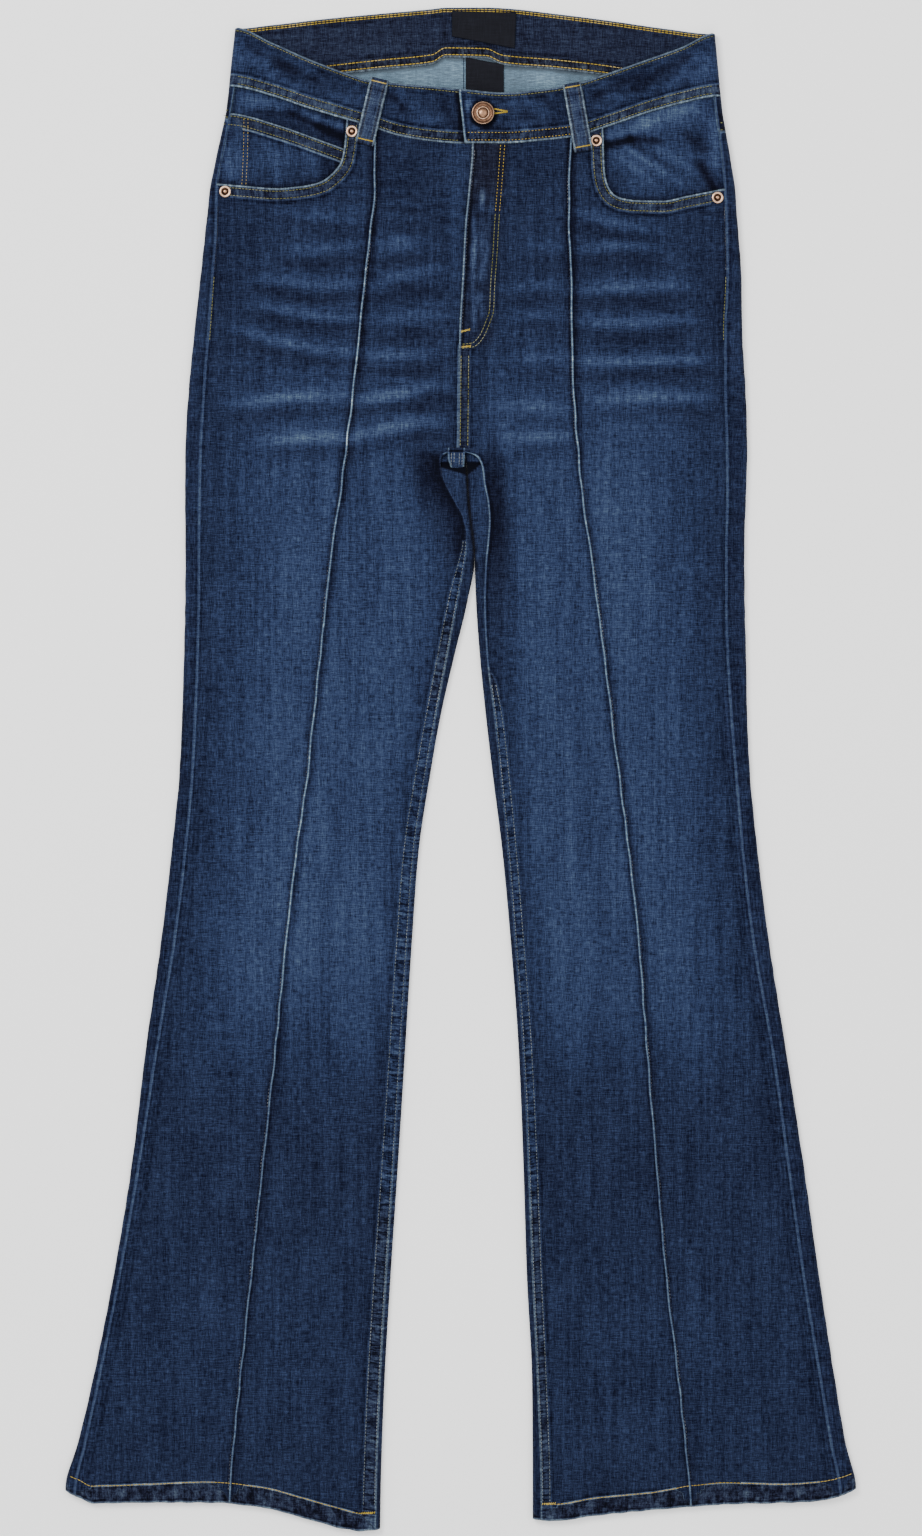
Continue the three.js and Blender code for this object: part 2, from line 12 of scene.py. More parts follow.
import bpy
import numpy as np
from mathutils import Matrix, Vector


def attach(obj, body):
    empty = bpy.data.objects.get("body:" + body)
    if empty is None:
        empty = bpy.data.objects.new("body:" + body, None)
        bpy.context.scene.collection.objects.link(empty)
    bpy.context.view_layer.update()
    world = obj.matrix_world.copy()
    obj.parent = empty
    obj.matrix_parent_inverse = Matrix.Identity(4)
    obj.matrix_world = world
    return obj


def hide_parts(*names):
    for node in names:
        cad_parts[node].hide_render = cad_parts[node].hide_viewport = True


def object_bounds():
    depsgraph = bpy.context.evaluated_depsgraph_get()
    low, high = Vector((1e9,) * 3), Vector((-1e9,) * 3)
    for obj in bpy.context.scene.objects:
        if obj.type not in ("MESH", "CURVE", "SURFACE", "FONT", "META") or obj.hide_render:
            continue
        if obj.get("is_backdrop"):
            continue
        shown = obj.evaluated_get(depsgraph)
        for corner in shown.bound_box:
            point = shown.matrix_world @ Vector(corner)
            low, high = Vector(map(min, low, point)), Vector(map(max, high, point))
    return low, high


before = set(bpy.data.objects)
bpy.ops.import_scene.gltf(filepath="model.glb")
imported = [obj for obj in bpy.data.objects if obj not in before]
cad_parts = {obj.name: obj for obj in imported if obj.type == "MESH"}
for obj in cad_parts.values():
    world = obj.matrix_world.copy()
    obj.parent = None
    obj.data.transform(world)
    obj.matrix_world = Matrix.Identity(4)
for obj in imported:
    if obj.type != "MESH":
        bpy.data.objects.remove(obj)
cad_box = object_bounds()

MM = 0.001
PI = np.pi

# ---------------------------------------------------------------- sizes

DENIM = 1.2  # one layer
BAND = 2.3  # the waistband, folded double
HEM = 2.2  # the legs' turned-up hems
LOOP = 1.8  # a belt loop, folded in three
LABEL = 0.9
GAP = 0.3  # between layers
LAYER = DENIM + GAP
SEAM_GAP = 0.12  # between two panels at a seam

OUTSEAM_ROLL = 3  # how far the cloth's turn reaches in at the outseam
INSEAM_ROLL = 2.4
BAND_ROLL = 3.2
TUCK = {"height": 1.3, "half": 1.5}  # the pintuck down each front, and half its width
FLY_LIFT = {"rise": 1.6, "width": 36, "start": 308, "end": 272}  # the flap over the zip
BAND_LAP = 1.1  # how much higher the waistband lies where it laps over its other end
HAIR = 0.1  # a hair's breadth, between the cloth and small parts on it

# y between which the rows of a leg are level, and y where its columns start to spread
TOP_ZONE = 385
HEM_ZONE = -480
SPREAD_ZONE = 300
FORK = {"top": 226, "full": 203}  # y between which the back panels roll up at the crotch

MESH_STEP = 3


def table(columns, *rows):
    """A table with named columns, as one array for each."""
    return dict(zip(columns.split(), np.array(rows, float).T, strict=True))


def each(rows):
    """The rows of a table, one at a time, as numbers by column."""
    for values in zip(*rows.values(), strict=True):
        yield dict(zip(rows, values, strict=True))


# x of a leg's upright lines: where it folds at the outseam, its side seam, its pintuck
OUTSIDE = {
    "right": table(
        "y outer side tuck",
        (527, -160.5, -157, -62), (500, -163.5, -159, -62), (470, -166.7, -163.2, -62),
        (440, -173, -169, -61), (412, -178.5, -173.7, -61.2), (385, -181.5, -174.2, -64),
        (350, -185.3, -176.7, -68), (312, -189.5, -179.4, -72), (265, -194, -183, -77),
        (229, -196, -185, -81.5), (190, -196.3, -186, -86.4), (160, -196, -186.2, -91.2),
        (120, -196.2, -186.4, -95.7), (80, -197.1, -187.3, -100), (40, -198.3, -188.9, -104.4),
        (0, -200.1, -190.8, -108.5), (-60, -206, -196.2, -117), (-120, -213, -203.5, -124),
        (-200, -224.3, -216.5, -131.9), (-280, -234, -228.8, -140.6), (-360, -247, -242.8, -149),
        (-440, -263, -258.8, -157.5), (-480, -272.6, -267.4, -161.5),
        (-513, -281.5, -274.5, -164.2), (-545, -281.5, -275.5, -165),
    ),
    "left": table(
        "y outer side tuck",
        (527, 180.5, 177, 77), (500, 183, 178.6, 78), (470, 186, 181.4, 78.5),
        (440, 191, 185.7, 78.2), (412, 195.3, 188.2, 77), (385, 197.3, 189.2, 77),
        (350, 199.8, 189.8, 78.7), (312, 200.4, 188.2, 79), (265, 203, 188.5, 80.5),
        (229, 204, 189.5, 83.3), (190, 203, 189.8, 87), (160, 202, 189, 91.7),
        (120, 202.2, 189, 96.9), (80, 203.2, 190.1, 102.2), (40, 203.9, 192.5, 107),
        (0, 205.7, 195.7, 112.1), (-60, 211.5, 201, 119.8), (-120, 219, 208, 126.5),
        (-200, 231.5, 222, 132.6), (-280, 243.8, 233, 139.2), (-360, 255, 244, 146.2),
        (-440, 267.2, 257, 155.6), (-480, 274, 263.6, 159.8), (-513, 281.5, 270, 163),
        (-545, 281.5, 271.5, 165),
    ),
}
# The fronts' inner edge: fly, crotch curve and inseam. fold is the flattened tube's
# inner edge, and above the crotch the centre back seam.
INSIDE = {
    "right": table(
        "y edge fold",
        (527, 15, 2), (470, 14.8, 2), (440, 14.3, 1.5), (385, 9.4, 1), (312, 5.6, 0.5),
        (300, -1.2, 0.5), (265, -1.6, 0.5), (227, -2, 1), (225.4, -8.7, 1.4), (222.6, -13.4, 2.6),
        (219, -14.6, 3.6), (212, -14, 4.4), (203, -11.2, 4.8), (190, -4.4, 5.6), (177, 2, 7),
        (160, 4.6, 9.2), (148, 3.2, 9.7), (120, -2, 5), (80, -9.5, -4.6), (40, -17, -13.8),
        (0, -24, -21), (-60, -33, -30), (-120, -37.5, -34.5), (-200, -42.5, -39.5),
        (-280, -47.5, -44.5), (-360, -52.8, -49.8), (-440, -57.4, -54.4), (-513, -60, -56.9),
        (-545, -60.5, -57.4),
    ),
    "left": table(
        "y edge fold",
        (527, 9, 2.4), (470, 8.8, 2.4), (440, 8.3, 1.9), (412, 6, 1.9), (385, 3.4, 1.4),
        (350, 1.6, 1.4), (304, -0.8, 0.9), (265, -1.2, 0.9), (227, -1.6, 1.2), (225.4, 3, 1.6),
        (223.9, 8.7, 2.4), (221, 12.6, 3.2), (214.6, 15.4, 4.2), (203, 16.8, 4.8), (190, 19.4, 5.6),
        (177, 20.4, 7), (160, 19.2, 9.2), (148, 18, 9.8), (120, 16.9, 10.8), (80, 18.7, 13.6),
        (40, 23.7, 17.6), (0, 27.7, 22.2), (-60, 33.5, 29.7), (-120, 38.3, 35.3),
        (-200, 44.2, 41.2), (-280, 48, 44.5), (-360, 51, 47), (-440, 54.7, 50.8),
        (-513, 57.1, 51.2), (-545, 57.2, 51.2),
    ),
}
# How high a leg's top lies at its outseam and its inseam, and how it sags between them
HEIGHTS = table(
    "y outseam inseam sag",
    (527, 8.4, 6.8, 0.2), (440, 8, 6.8, 0.3), (385, 7.8, 6.7, 0.4), (312, 7, 6.5, 0.9),
    (229, 6.4, 6.2, 1.2), (120, 6.1, 6, 1.7), (0, 5.8, 5.6, 1.8), (-400, 5.6, 5.4, 1.6),
    (-500, 6.2, 6.2, 0.8), (-545, 6.4, 6.4, 0.5),
)
# y of the waistband's edges, in front and at the back
FRONT_BAND = table(
    "x top bottom",
    (-167, 526.5, 485.7), (-160, 526.5, 485.2), (-135, 516.2, 479), (-109, 504.7, 470.3),
    (-81, 494, 461.9), (-66, 489.3, 457.6), (-43, 486.8, 450.2), (-20, 484.8, 446.5),
    (0, 482.8, 445), (30, 480.3, 445), (58, 482.8, 447.2), (80, 486.4, 449.7), (107, 495, 457.8),
    (132, 503.7, 466.5), (157, 512.6, 473.5), (181, 522.6, 478.3), (187, 522.6, 478.5),
)
BACK_BAND = table(
    "x top bottom",
    (-167, 526.5, 485.7), (-160, 526.5, 485.4), (-135, 529, 488), (-93, 533.8, 494),
    (-58, 537.1, 498), (-20, 540.5, 502), (-11, 541.5, 506.8), (18, 541.6, 506.2),
    (30, 541.1, 501.5), (68, 537, 498.2), (107, 532, 493.5), (145, 526.5, 486), (181, 522.6, 478.5),
    (187, 522.6, 478.5),
)
BAND_ENDS = {"under": 22, "over_top": -1, "over_bottom": 3.2}  # x of the ends that lap
BAND_SIDES = {"right": (486, 526), "left": (478, 522)}  # y of its folds' lower and upper ends

# Pocket mouths, from the waistband round to the side seam
MOUTHS = {
    "right": [
        (-80.9, 461.5), (-82.3, 444.4), (-84.7, 432), (-90.2, 424.1), (-99.8, 417), (-114.1, 413.8),
        (-131.4, 412.4), (-150.6, 413.8), (-173.6, 415.8),
    ],
    "left": [
        (101, 455.6), (101.4, 442.4), (101.8, 429.7), (103.1, 418.6), (107.5, 409.4),
        (113.8, 405.6), (123.4, 404), (144, 403.5), (159.8, 406.7), (188.1, 412.3),
    ],
}
FACING_ENDS = {"right": (-73, 404), "left": (93, 395)}  # x and y, under the front
# How deep the pocket facings lie under the fronts, and how much paler they are
FACINGS = {
    "right": {"layers": 2, "extra_wear": -0.03},
    "left": {"layers": 1, "extra_wear": 0.05},
}
COIN_POCKET_TOP = [(-170, 466.5), (-160, 465.6), (-130, 457.5), (-100, 447), (-75, 437.7)]
YOKE_SEAM = {"right": (462, 440), "left": (453, 440)}  # y at side seam, at centre back
# y of the hems' stitch lines and edges
HEMS = {
    "right": table(
        "x stitch edge",
        (-282, -501.5, -513.5), (-272, -505.8, -517.8), (-262, -510.2, -522.3),
        (-222, -509, -521.8), (-180, -507.5, -521.8), (-143, -511, -525), (-110, -519.5, -533.2),
        (-85, -526.5, -540), (-70, -529.8, -542), (-56, -529.8, -540.4),
    ),
    "left": table(
        "x stitch edge",
        (50, -522.3, -533.6), (66, -523.3, -534.8), (96, -518.8, -531), (137, -514.8, -527),
        (165, -510, -524.7), (190, -508, -523), (229, -509, -522), (251, -507.8, -521),
        (268, -504.8, -517.8), (282, -500, -512),
    ),
}
LOOPS = {
    "right": {"top": (-57.6, 490), "bottom": (-68.4, 444.2), "half": 6.3},
    "left": {"top": (78.9, 486.8), "bottom": (87.3, 439.3), "half": 6.2},
}
LOOP_LONG = 48  # along a belt loop
# How far a belt loop stands off the waistband, from its top down
LOOP_PATH = table(
    "share rise",
    (0, 0), (0.05, 0.1), (0.16, 1.3), (0.4, 1.7), (0.62, 1.6), (0.8, 1.1), (0.9, 0.4), (1, 0.2),
)
BUTTON = {"x": 15.8, "y": 465.7, "radius": 8.2}
RIVETS = {
    "right_front": (-77.4, 453.2),
    "right_side": (-167.5, 410.3),
    "left_front": (96.4, 446.6),
    "left_side": (182.6, 406),
}
WAISTBAND_LABEL = [(-6, 539), (39.5, 538), (38.2, 513), (-6, 521.5)]
SIZE_LABEL = {"left": 3.8, "right": 30.4, "bottom": 476}

# Widths of the sewn bands beside the edges
MOUTH_BAND = 8
RISE_BAND = 7.4
FLY_J = [
    (31.3, 444), (29.7, 421.6), (27.2, 390.3), (25.8, 366.1), (24.1, 342.7), (23.4, 326.3),
    (20.1, 315.7), (15.4, 305.7), (9.1, 300), (-1.2, 298.6),
]
INSEAM_BAND = table(
    "y right left",
    (165, 3, 0), (120, 7, 0), (75, 7.4, 0), (60, 7.5, 4.5), (0, 7.8, 6.6), (-530, 9.6, 6.8),
)

# ---------------------------------------------------------------- creases, fading and painted shade

# The longest soft folds: a ridge, or a trough where height is below 0
FOLDS = table(
    "x1 y1 x2 y2 width height",
    (-136, -10, -146, -195, 15, 0.9), (-66, -45, -74, -175, 13, 0.8), (-11, 222, -15, 280, 7, -0.8),
    (-24, 150, -40, 50, 9, -0.7), (82, 60, 98, -205, 15, 0.9), (138, 130, 162, -30, 17, 0.9),
    (32, 185, 38, 60, 9, -0.8),
)
# Creases faded pale across the thighs: a ridge with a trough under it, where shade is painted
WHISKERS = table(
    "x1 y1 x2 y2 bow width height wear",
    (-114, 393, -68, 394, 0, 4.5, 0.4, 0.062), (-119, 369, -75, 372, -1, 4.5, 0.5, 0.0992),
    (-138, 350, -75, 346, -4, 4, 0.6, 0.13), (-143, 331, -75, 321, -3, 4, 0.6, 0.118),
    (-157, 313, -79, 297, -3, 4.2, 0.7, 0.118), (-156, 260, -84, 266, 1, 4.8, 0.8, 0.155),
    (-137, 233, -80, 236, 1, 5, 0.7, 0.155), (-60, 372, -30, 374, 0, 7, 0.4, 0.0868),
    (-62, 345, -17, 354, 2, 5, 0.5, 0.105), (-59, 320, -17, 323, 0, 6, 0.5, 0.0868),
    (-68, 295, -21, 295, -1, 5, 0.5, 0.105), (-74, 262, -15, 274, -1, 4.6, 0.7, 0.149),
    (-78, 235, -16, 247, 2, 4.8, 0.6, 0.136), (47, 372, 74, 372, 0, 6, 0.3, 0.0496),
    (37, 343, 72, 344, 0, 5, 0.4, 0.0682), (42, 323, 72, 324, 0, 5, 0.4, 0.0682),
    (42, 292, 74, 293, 0, 5, 0.4, 0.0682), (37, 258, 75, 255, 1, 5.5, 0.5, 0.0868),
    (37, 235, 77, 237, 0, 5, 0.5, 0.0992), (85, 396, 137, 384, -2, 4.2, 0.5, 0.112),
    (85, 369, 137, 371, 2, 4.2, 0.6, 0.124), (85, 341, 158, 344, 0, 4.8, 0.6, 0.13),
    (87, 319, 160, 321, -3, 5, 0.6, 0.124), (85, 289, 170, 291, 0, 4.4, 0.7, 0.143),
    (99, 263, 172, 264, 1, 5.4, 0.7, 0.124),
)
# How worn the fronts are across a leg, from the side seam to the inner edge, and down it
FADE_ACROSS = table(
    "share wear",
    (0, 0.01), (0.12, 0.04), (0.24, 0.08), (0.38, 0.11), (0.5, 0.115), (0.58, 0.095), (0.64, 0.085),
    (0.72, 0.11), (0.82, 0.11), (0.9, 0.06), (1, 0.0),
)
FADE_DOWN = table(
    "y share",
    (440, 0.05), (330, 0.2), (290, 0.35), (240, 0.8), (200, 0.85), (100, 0.95), (0, 1), (-120, 1),
    (-165, 0.85), (-200, 0.5), (-235, 0.15), (-280, 0),
)
# Soft places, more or less faded; those by the fork are painted shade and highlight by its folds
PATCHES = table(
    "x y wide tall lean wear",
    (-4, 400, 5, 60, 0, 0.06), (-30, 250, 9, 60, 0, -0.05), (27, 155, 10, 60, -0.05, -0.085),
    (-20, 186, 14, 34, -0.29, -0.05), (-1, 196, 5, 14, -0.4, 0.03), (25, 192, 7, 34, -0.1, -0.05),
    (-38, 432, 26, 16, 0, -0.01), (55, 430, 18, 14, 0, -0.01), (-33, 405, 20, 40, 0, -0.015),
    (38, 405, 18, 40, 0, -0.015), (-150, -400, 90, 90, 0, 0.02), (150, -400, 90, 90, 0, 0.02),
    (-186, 335, 14, 40, 0.05, -0.065), (193, 330, 14, 40, -0.05, -0.05),
    (-110, -60, 22, 110, 0.1, 0.02), (100, 160, 40, 60, -0.1, 0.03), (-95, -110, 60, 40, 0, 0.02),
)


def mix(a, b, share):
    """a where share is 0, b where it is 1."""
    return a + (b - a) * share


def smooth(share):
    """0 up to share 0 and 1 from share 1, eased between them."""
    share = np.clip(share, 0, 1)
    return share * share * (3 - 2 * share)


def bell(away, width):
    """1 where away is 0, fading over width."""
    return np.exp(-((away / width) ** 2))


def ripple(along, pitch, phase=0.0):
    """An uneven wave between about -1 and 1."""
    bend = 1.3 * np.sin(along * 2 * PI / (3.7 * pitch) + 2.1 * phase)
    swell = 0.65 + 0.35 * np.sin(along * 2 * PI / (5.9 * pitch) + phase)
    return swell * np.sin(along * 2 * PI / pitch + bend + phase)


def curve(x, y, at):
    """The smooth curve through points, without overshoot, held past its ends."""
    if x[0] > x[-1]:
        x, y = x[::-1], y[::-1]
    at = np.clip(at, x[0], x[-1])
    step = np.diff(x)
    slope = np.diff(y) / step
    a, b = slope[:-1], slope[1:]
    turn = np.where(a * b > 0, 2 * a * b / np.where(a + b == 0, 1, a + b), 0)
    m = np.concatenate([slope[:1], turn, slope[-1:]])
    i = np.clip(np.searchsorted(x, at, side="right") - 1, 0, len(x) - 2)
    h, t = step[i], (at - x[i]) / step[i]
    start = (1 + 2 * t) * (1 - t) ** 2 * y[i] + t * (1 - t) ** 2 * h * m[i]
    return start + t * t * (3 - 2 * t) * y[i + 1] + t * t * (t - 1) * h * m[i + 1]


def read(rows, by, at, column):
    """A table's column where its column by has the values at."""
    return curve(rows[by], rows[column], np.asarray(at, float))


def leg(side, y, column):
    """x of one of a leg's upright lines at heights y."""
    rows = OUTSIDE if column in ("outer", "side", "tuck") else INSIDE
    line = read(rows[side], "y", y, column)
    return line + 0.35 * ripple(y, 37, 1) if column == "tuck" else line


def lean(side, y, column):
    """How much x changes with y along one of a leg's upright lines."""
    return leg(side, y + 1, column) / 2 - leg(side, y - 1, column) / 2


def under_band(x):
    """y of the front's edge at the waistband."""
    return read(FRONT_BAND, "x", x, "bottom") - SEAM_GAP


def sign(side):
    """+1 on the right leg, where x grows from the side seam to the fold."""
    return 1 if side == "right" else -1


class Line:
    """A smooth line through points in the plane, in short straight steps."""

    def __init__(self, points, step=1.5):
        points = np.array(points, float)
        chords = np.hypot(*np.diff(points, axis=0).T)
        places = np.concatenate([[0], np.cumsum(chords)])
        self.s = np.linspace(0, places[-1], max(3, int(places[-1] / step) + 1))
        self.p = np.stack([curve(places, points[:, k], self.s) for k in (0, 1)], -1)

    def at(self, s, away=0.0):
        """The points at places along the line, moved to its left by away."""
        ahead, behind = np.minimum(s + 0.5, self.s[-1]), np.maximum(s - 0.5, 0)
        point, a, b = (
            np.stack([np.interp(t, self.s, self.p[:, k]) for k in (0, 1)], -1)
            for t in (s, behind, ahead)
        )
        d = (b - a) / np.linalg.norm(b - a, axis=-1, keepdims=True)
        return point + away * np.stack([-d[..., 1], d[..., 0]], -1)

    def near(self, x, y, reach=16.0):
        """How far points lie to its left, up to reach, and the nearest place along it."""
        x, y = np.broadcast_arrays(x, y)
        away, along = np.full(x.shape, reach), np.zeros(x.shape)
        low, high = self.p.min(0) - reach, self.p.max(0) + reach
        close = (x > low[0]) & (x < high[0]) & (y > low[1]) & (y < high[1])
        px, py = x[close], y[close]
        best, place = np.full(px.shape, reach), np.zeros(px.shape)
        for (ax, ay), (bx, by), s in zip(self.p[:-1], self.p[1:], self.s[:-1], strict=True):
            dx, dy = bx - ax, by - ay
            length = np.hypot(dx, dy)
            t = np.clip(((px - ax) * dx + (py - ay) * dy) / length**2, 0, 1)
            ex, ey = px - ax - t * dx, py - ay - t * dy
            d = np.hypot(ex, ey)
            nearer = d < np.abs(best)
            best = np.where(nearer, np.where(dx * ey - dy * ex >= 0, d, -d), best)
            place = np.where(nearer, s + t * length, place)
        away[close], along[close] = best, place
        return away, along


def upright(side, column, x, y):
    """How far points lie beyond a leg's upright line, towards the fold."""
    slope = np.clip(lean(side, y, column), -1.5, 1.5)
    return sign(side) * (x - leg(side, y, column)) / np.sqrt(1 + slope**2)


MOUTH_LINES = {side: Line(points) for side, points in MOUTHS.items()}
FLY_LINE = Line(FLY_J)

# ---------------------------------------------------------------- how high the cloth lies


def strokes(rows, x, y):
    """For each stroke of a table, how far points lie from it and their share along."""
    for r in each(rows):
        dx, dy = r["x2"] - r["x1"], r["y2"] - r["y1"]
        along = ((x - r["x1"]) * dx + (y - r["y1"]) * dy) / (dx * dx + dy * dy)
        share = np.clip(along, 0, 1)
        bow = r.get("bow", 0) * 4 * share * (1 - share)
        ex, ey = x - r["x1"] - share * dx, y - r["y1"] - share * dy - bow
        yield r, ex, ey, share


def folds(rows, x, y, spread=1.0):
    """The height of a table's strokes, each fading over spread times its width."""
    total = 0
    for r, ex, ey, _ in strokes(rows, x, y):
        total = total + r["height"] * bell(np.hypot(ex, ey), spread * r["width"])
    return total


def tapered(ex, share, reach, least, power=1.0):
    """How strong a crease is along itself: less at its ends, gone reach beyond them."""
    return bell(ex, reach) * mix(least, 1, np.sin(PI * share) ** power)


def whiskers(x, y):
    """Height of the creases across the thighs, faded pale on the ridge, with painted shade in the trough
    under it.
    """
    height, wear = 0, 0
    for r, ex, ey, share in strokes(WHISKERS, x, y):
        ends = tapered(ex, share, reach=9, least=0.45, power=0.7)
        below = bell(ey + 2 * r["width"], 1.3 * r["width"])
        height = height + r["height"] * ends * (bell(ey, r["width"]) - 0.5 * below)
        # the ridge faded pale, and painted shade in the trough below it
        worn = bell(ey, 0.85 * r["width"]) - 0.35 * below
        wear = wear + 1.25 * r["wear"] * ends * worn
    return height, wear


def patches(rows, x, y):
    """The summed fading and painted shade of a table's soft oval patches."""
    total = 0
    for r in each(rows):
        ex, ey = x - r["x"] - r["lean"] * (y - r["y"]), y - r["y"]
        total = total + r["wear"] * bell(np.hypot(ex / r["wide"], ey / r["tall"]), 1)
    return total


def deck(side, x, y):
    """How high the top of the front lies, without its own seams and creases."""
    start, end = leg(side, y, "side"), leg(side, y, "fold")
    share = np.clip((x - start) / (end - start), 0, 1)
    level = mix(read(HEIGHTS, "y", y, "outseam"), read(HEIGHTS, "y", y, "inseam"), share)
    sag = read(HEIGHTS, "y", y, "sag") * 4 * share * (1 - share)
    soft = 0.3 * ripple(y + 0.6 * x, 88, 0.7) * ripple(x - 0.15 * y, 61, 2)
    return level - sag + folds(FOLDS, x, y) + soft * np.sin(PI * share) + fly_lift(side, x, y)


def fly_lift(side, x, y):
    """How much higher the left front lies, over the fly's lower end and the zip."""
    if side == "right":
        return 0
    along = smooth((y - FLY_LIFT["end"]) / (FLY_LIFT["start"] - FLY_LIFT["end"]))
    across = smooth(1 - (x - leg(side, y, "edge")) / FLY_LIFT["width"])
    return FLY_LIFT["rise"] * along * across


def hem_edge(side, x):
    """y of a hem's slightly wavy edge."""
    return read(HEMS[side], "x", x, "edge") + 0.3 * ripple(x, 17, 0.4)


def hem_near(side, x, y):
    """Height over the hem's edge, and the hem's own height."""
    low = hem_edge(side, x)
    return y - low, read(HEMS[side], "x", x, "stitch") - low


def thickness(side, x, y):
    """A leg panel's: one layer, or the folded hem's."""
    over_hem, hem = hem_near(side, x, y)
    return np.where(over_hem < hem + 1, HEM, DENIM)


FAR_LINE = 0.3  # how pale a band's inner edge is, beside its outer edge
FAR = 99.0  # away from any seam
NO_SEAM = (FAR, 0.0, 0.0, 0.0, 0.0, 0.0)
# The right thigh's fold beside the fork: the cloth is lower outside it, with painted shade there and a
# painted highlight along the fold
FORK_FOLD = Line(
    [
        (-14.5, 224), (-12.3, 210.6), (-6.6, 199), (0, 189), (4.1, 179.4), (5.4, 170), (4, 159),
        (0, 146),
    ]
)
FLY_FLAP = 27  # how wide the fly's flap is
FLY_FOOT = 296  # y of the fly's lower end
FLY_SIDE = 34  # x past which the fly's stitching doesn't reach
# Pale streaks down the fly, over the zip: how far each is from the fly's edge
FLY_STREAKS = table(
    "place pitch pale",
    (4.6, 29, 0.2), (8.6, 37, 0.34), (11.8, 23, 0.2), (16, 31, 0.22),
)
CROTCH = 224  # y where the rise ends and the fork between the legs starts
INSEAM_TOP = 166  # y below which a leg's inseam band shows
INSEAM_GRAIN = 1.9  # how much finer roping is along the inseam than elsewhere
RISE_ENDS = {"low": 226, "high": 299}  # y of the rise's sewn band, on the left front
MOUTH_WEAR = {"right": 0.03, "left": 0.045}  # of the band round a pocket mouth


def nearest(shape, *seams):
    """Of seams (away, along, width, strength of pale lines and painted shade, rope, far), the one
    nearest each point.
    """
    best = [np.full(shape, value) for value in NO_SEAM]
    for seam in seams:
        seam = (*seam, FAR_LINE)[: len(NO_SEAM)]
        seam = [np.broadcast_to(np.asarray(v, float), shape) for v in seam]
        near = np.abs(seam[0]) - 0.5 * (seam[2] > 0) < np.abs(best[0])
        best = [np.where(near, new, old) for new, old in zip(seam, best, strict=True)]
    return np.stack(best[:3], -1), np.stack(best[3:], -1)


def band_relief(away, along, width, pitch, rise=0.5, rope=0.3):
    """A sewn band beside an edge: a step up, puckers across it, and stitch grooves."""
    within = smooth((width + 0.9 - away) / 1.8) * (away > -2)
    grooves = bell(away - 1.4, 0.9) + bell(away - width + 0.7, 0.9)
    outside = bell(np.maximum(away - width, 0), 3.5) * (1 - within)
    puckers = rope * ripple(along + 0.6 * away, pitch, 1.1) * (within + 0.5 * outside)
    return within * rise - 0.3 * grooves * within + puckers


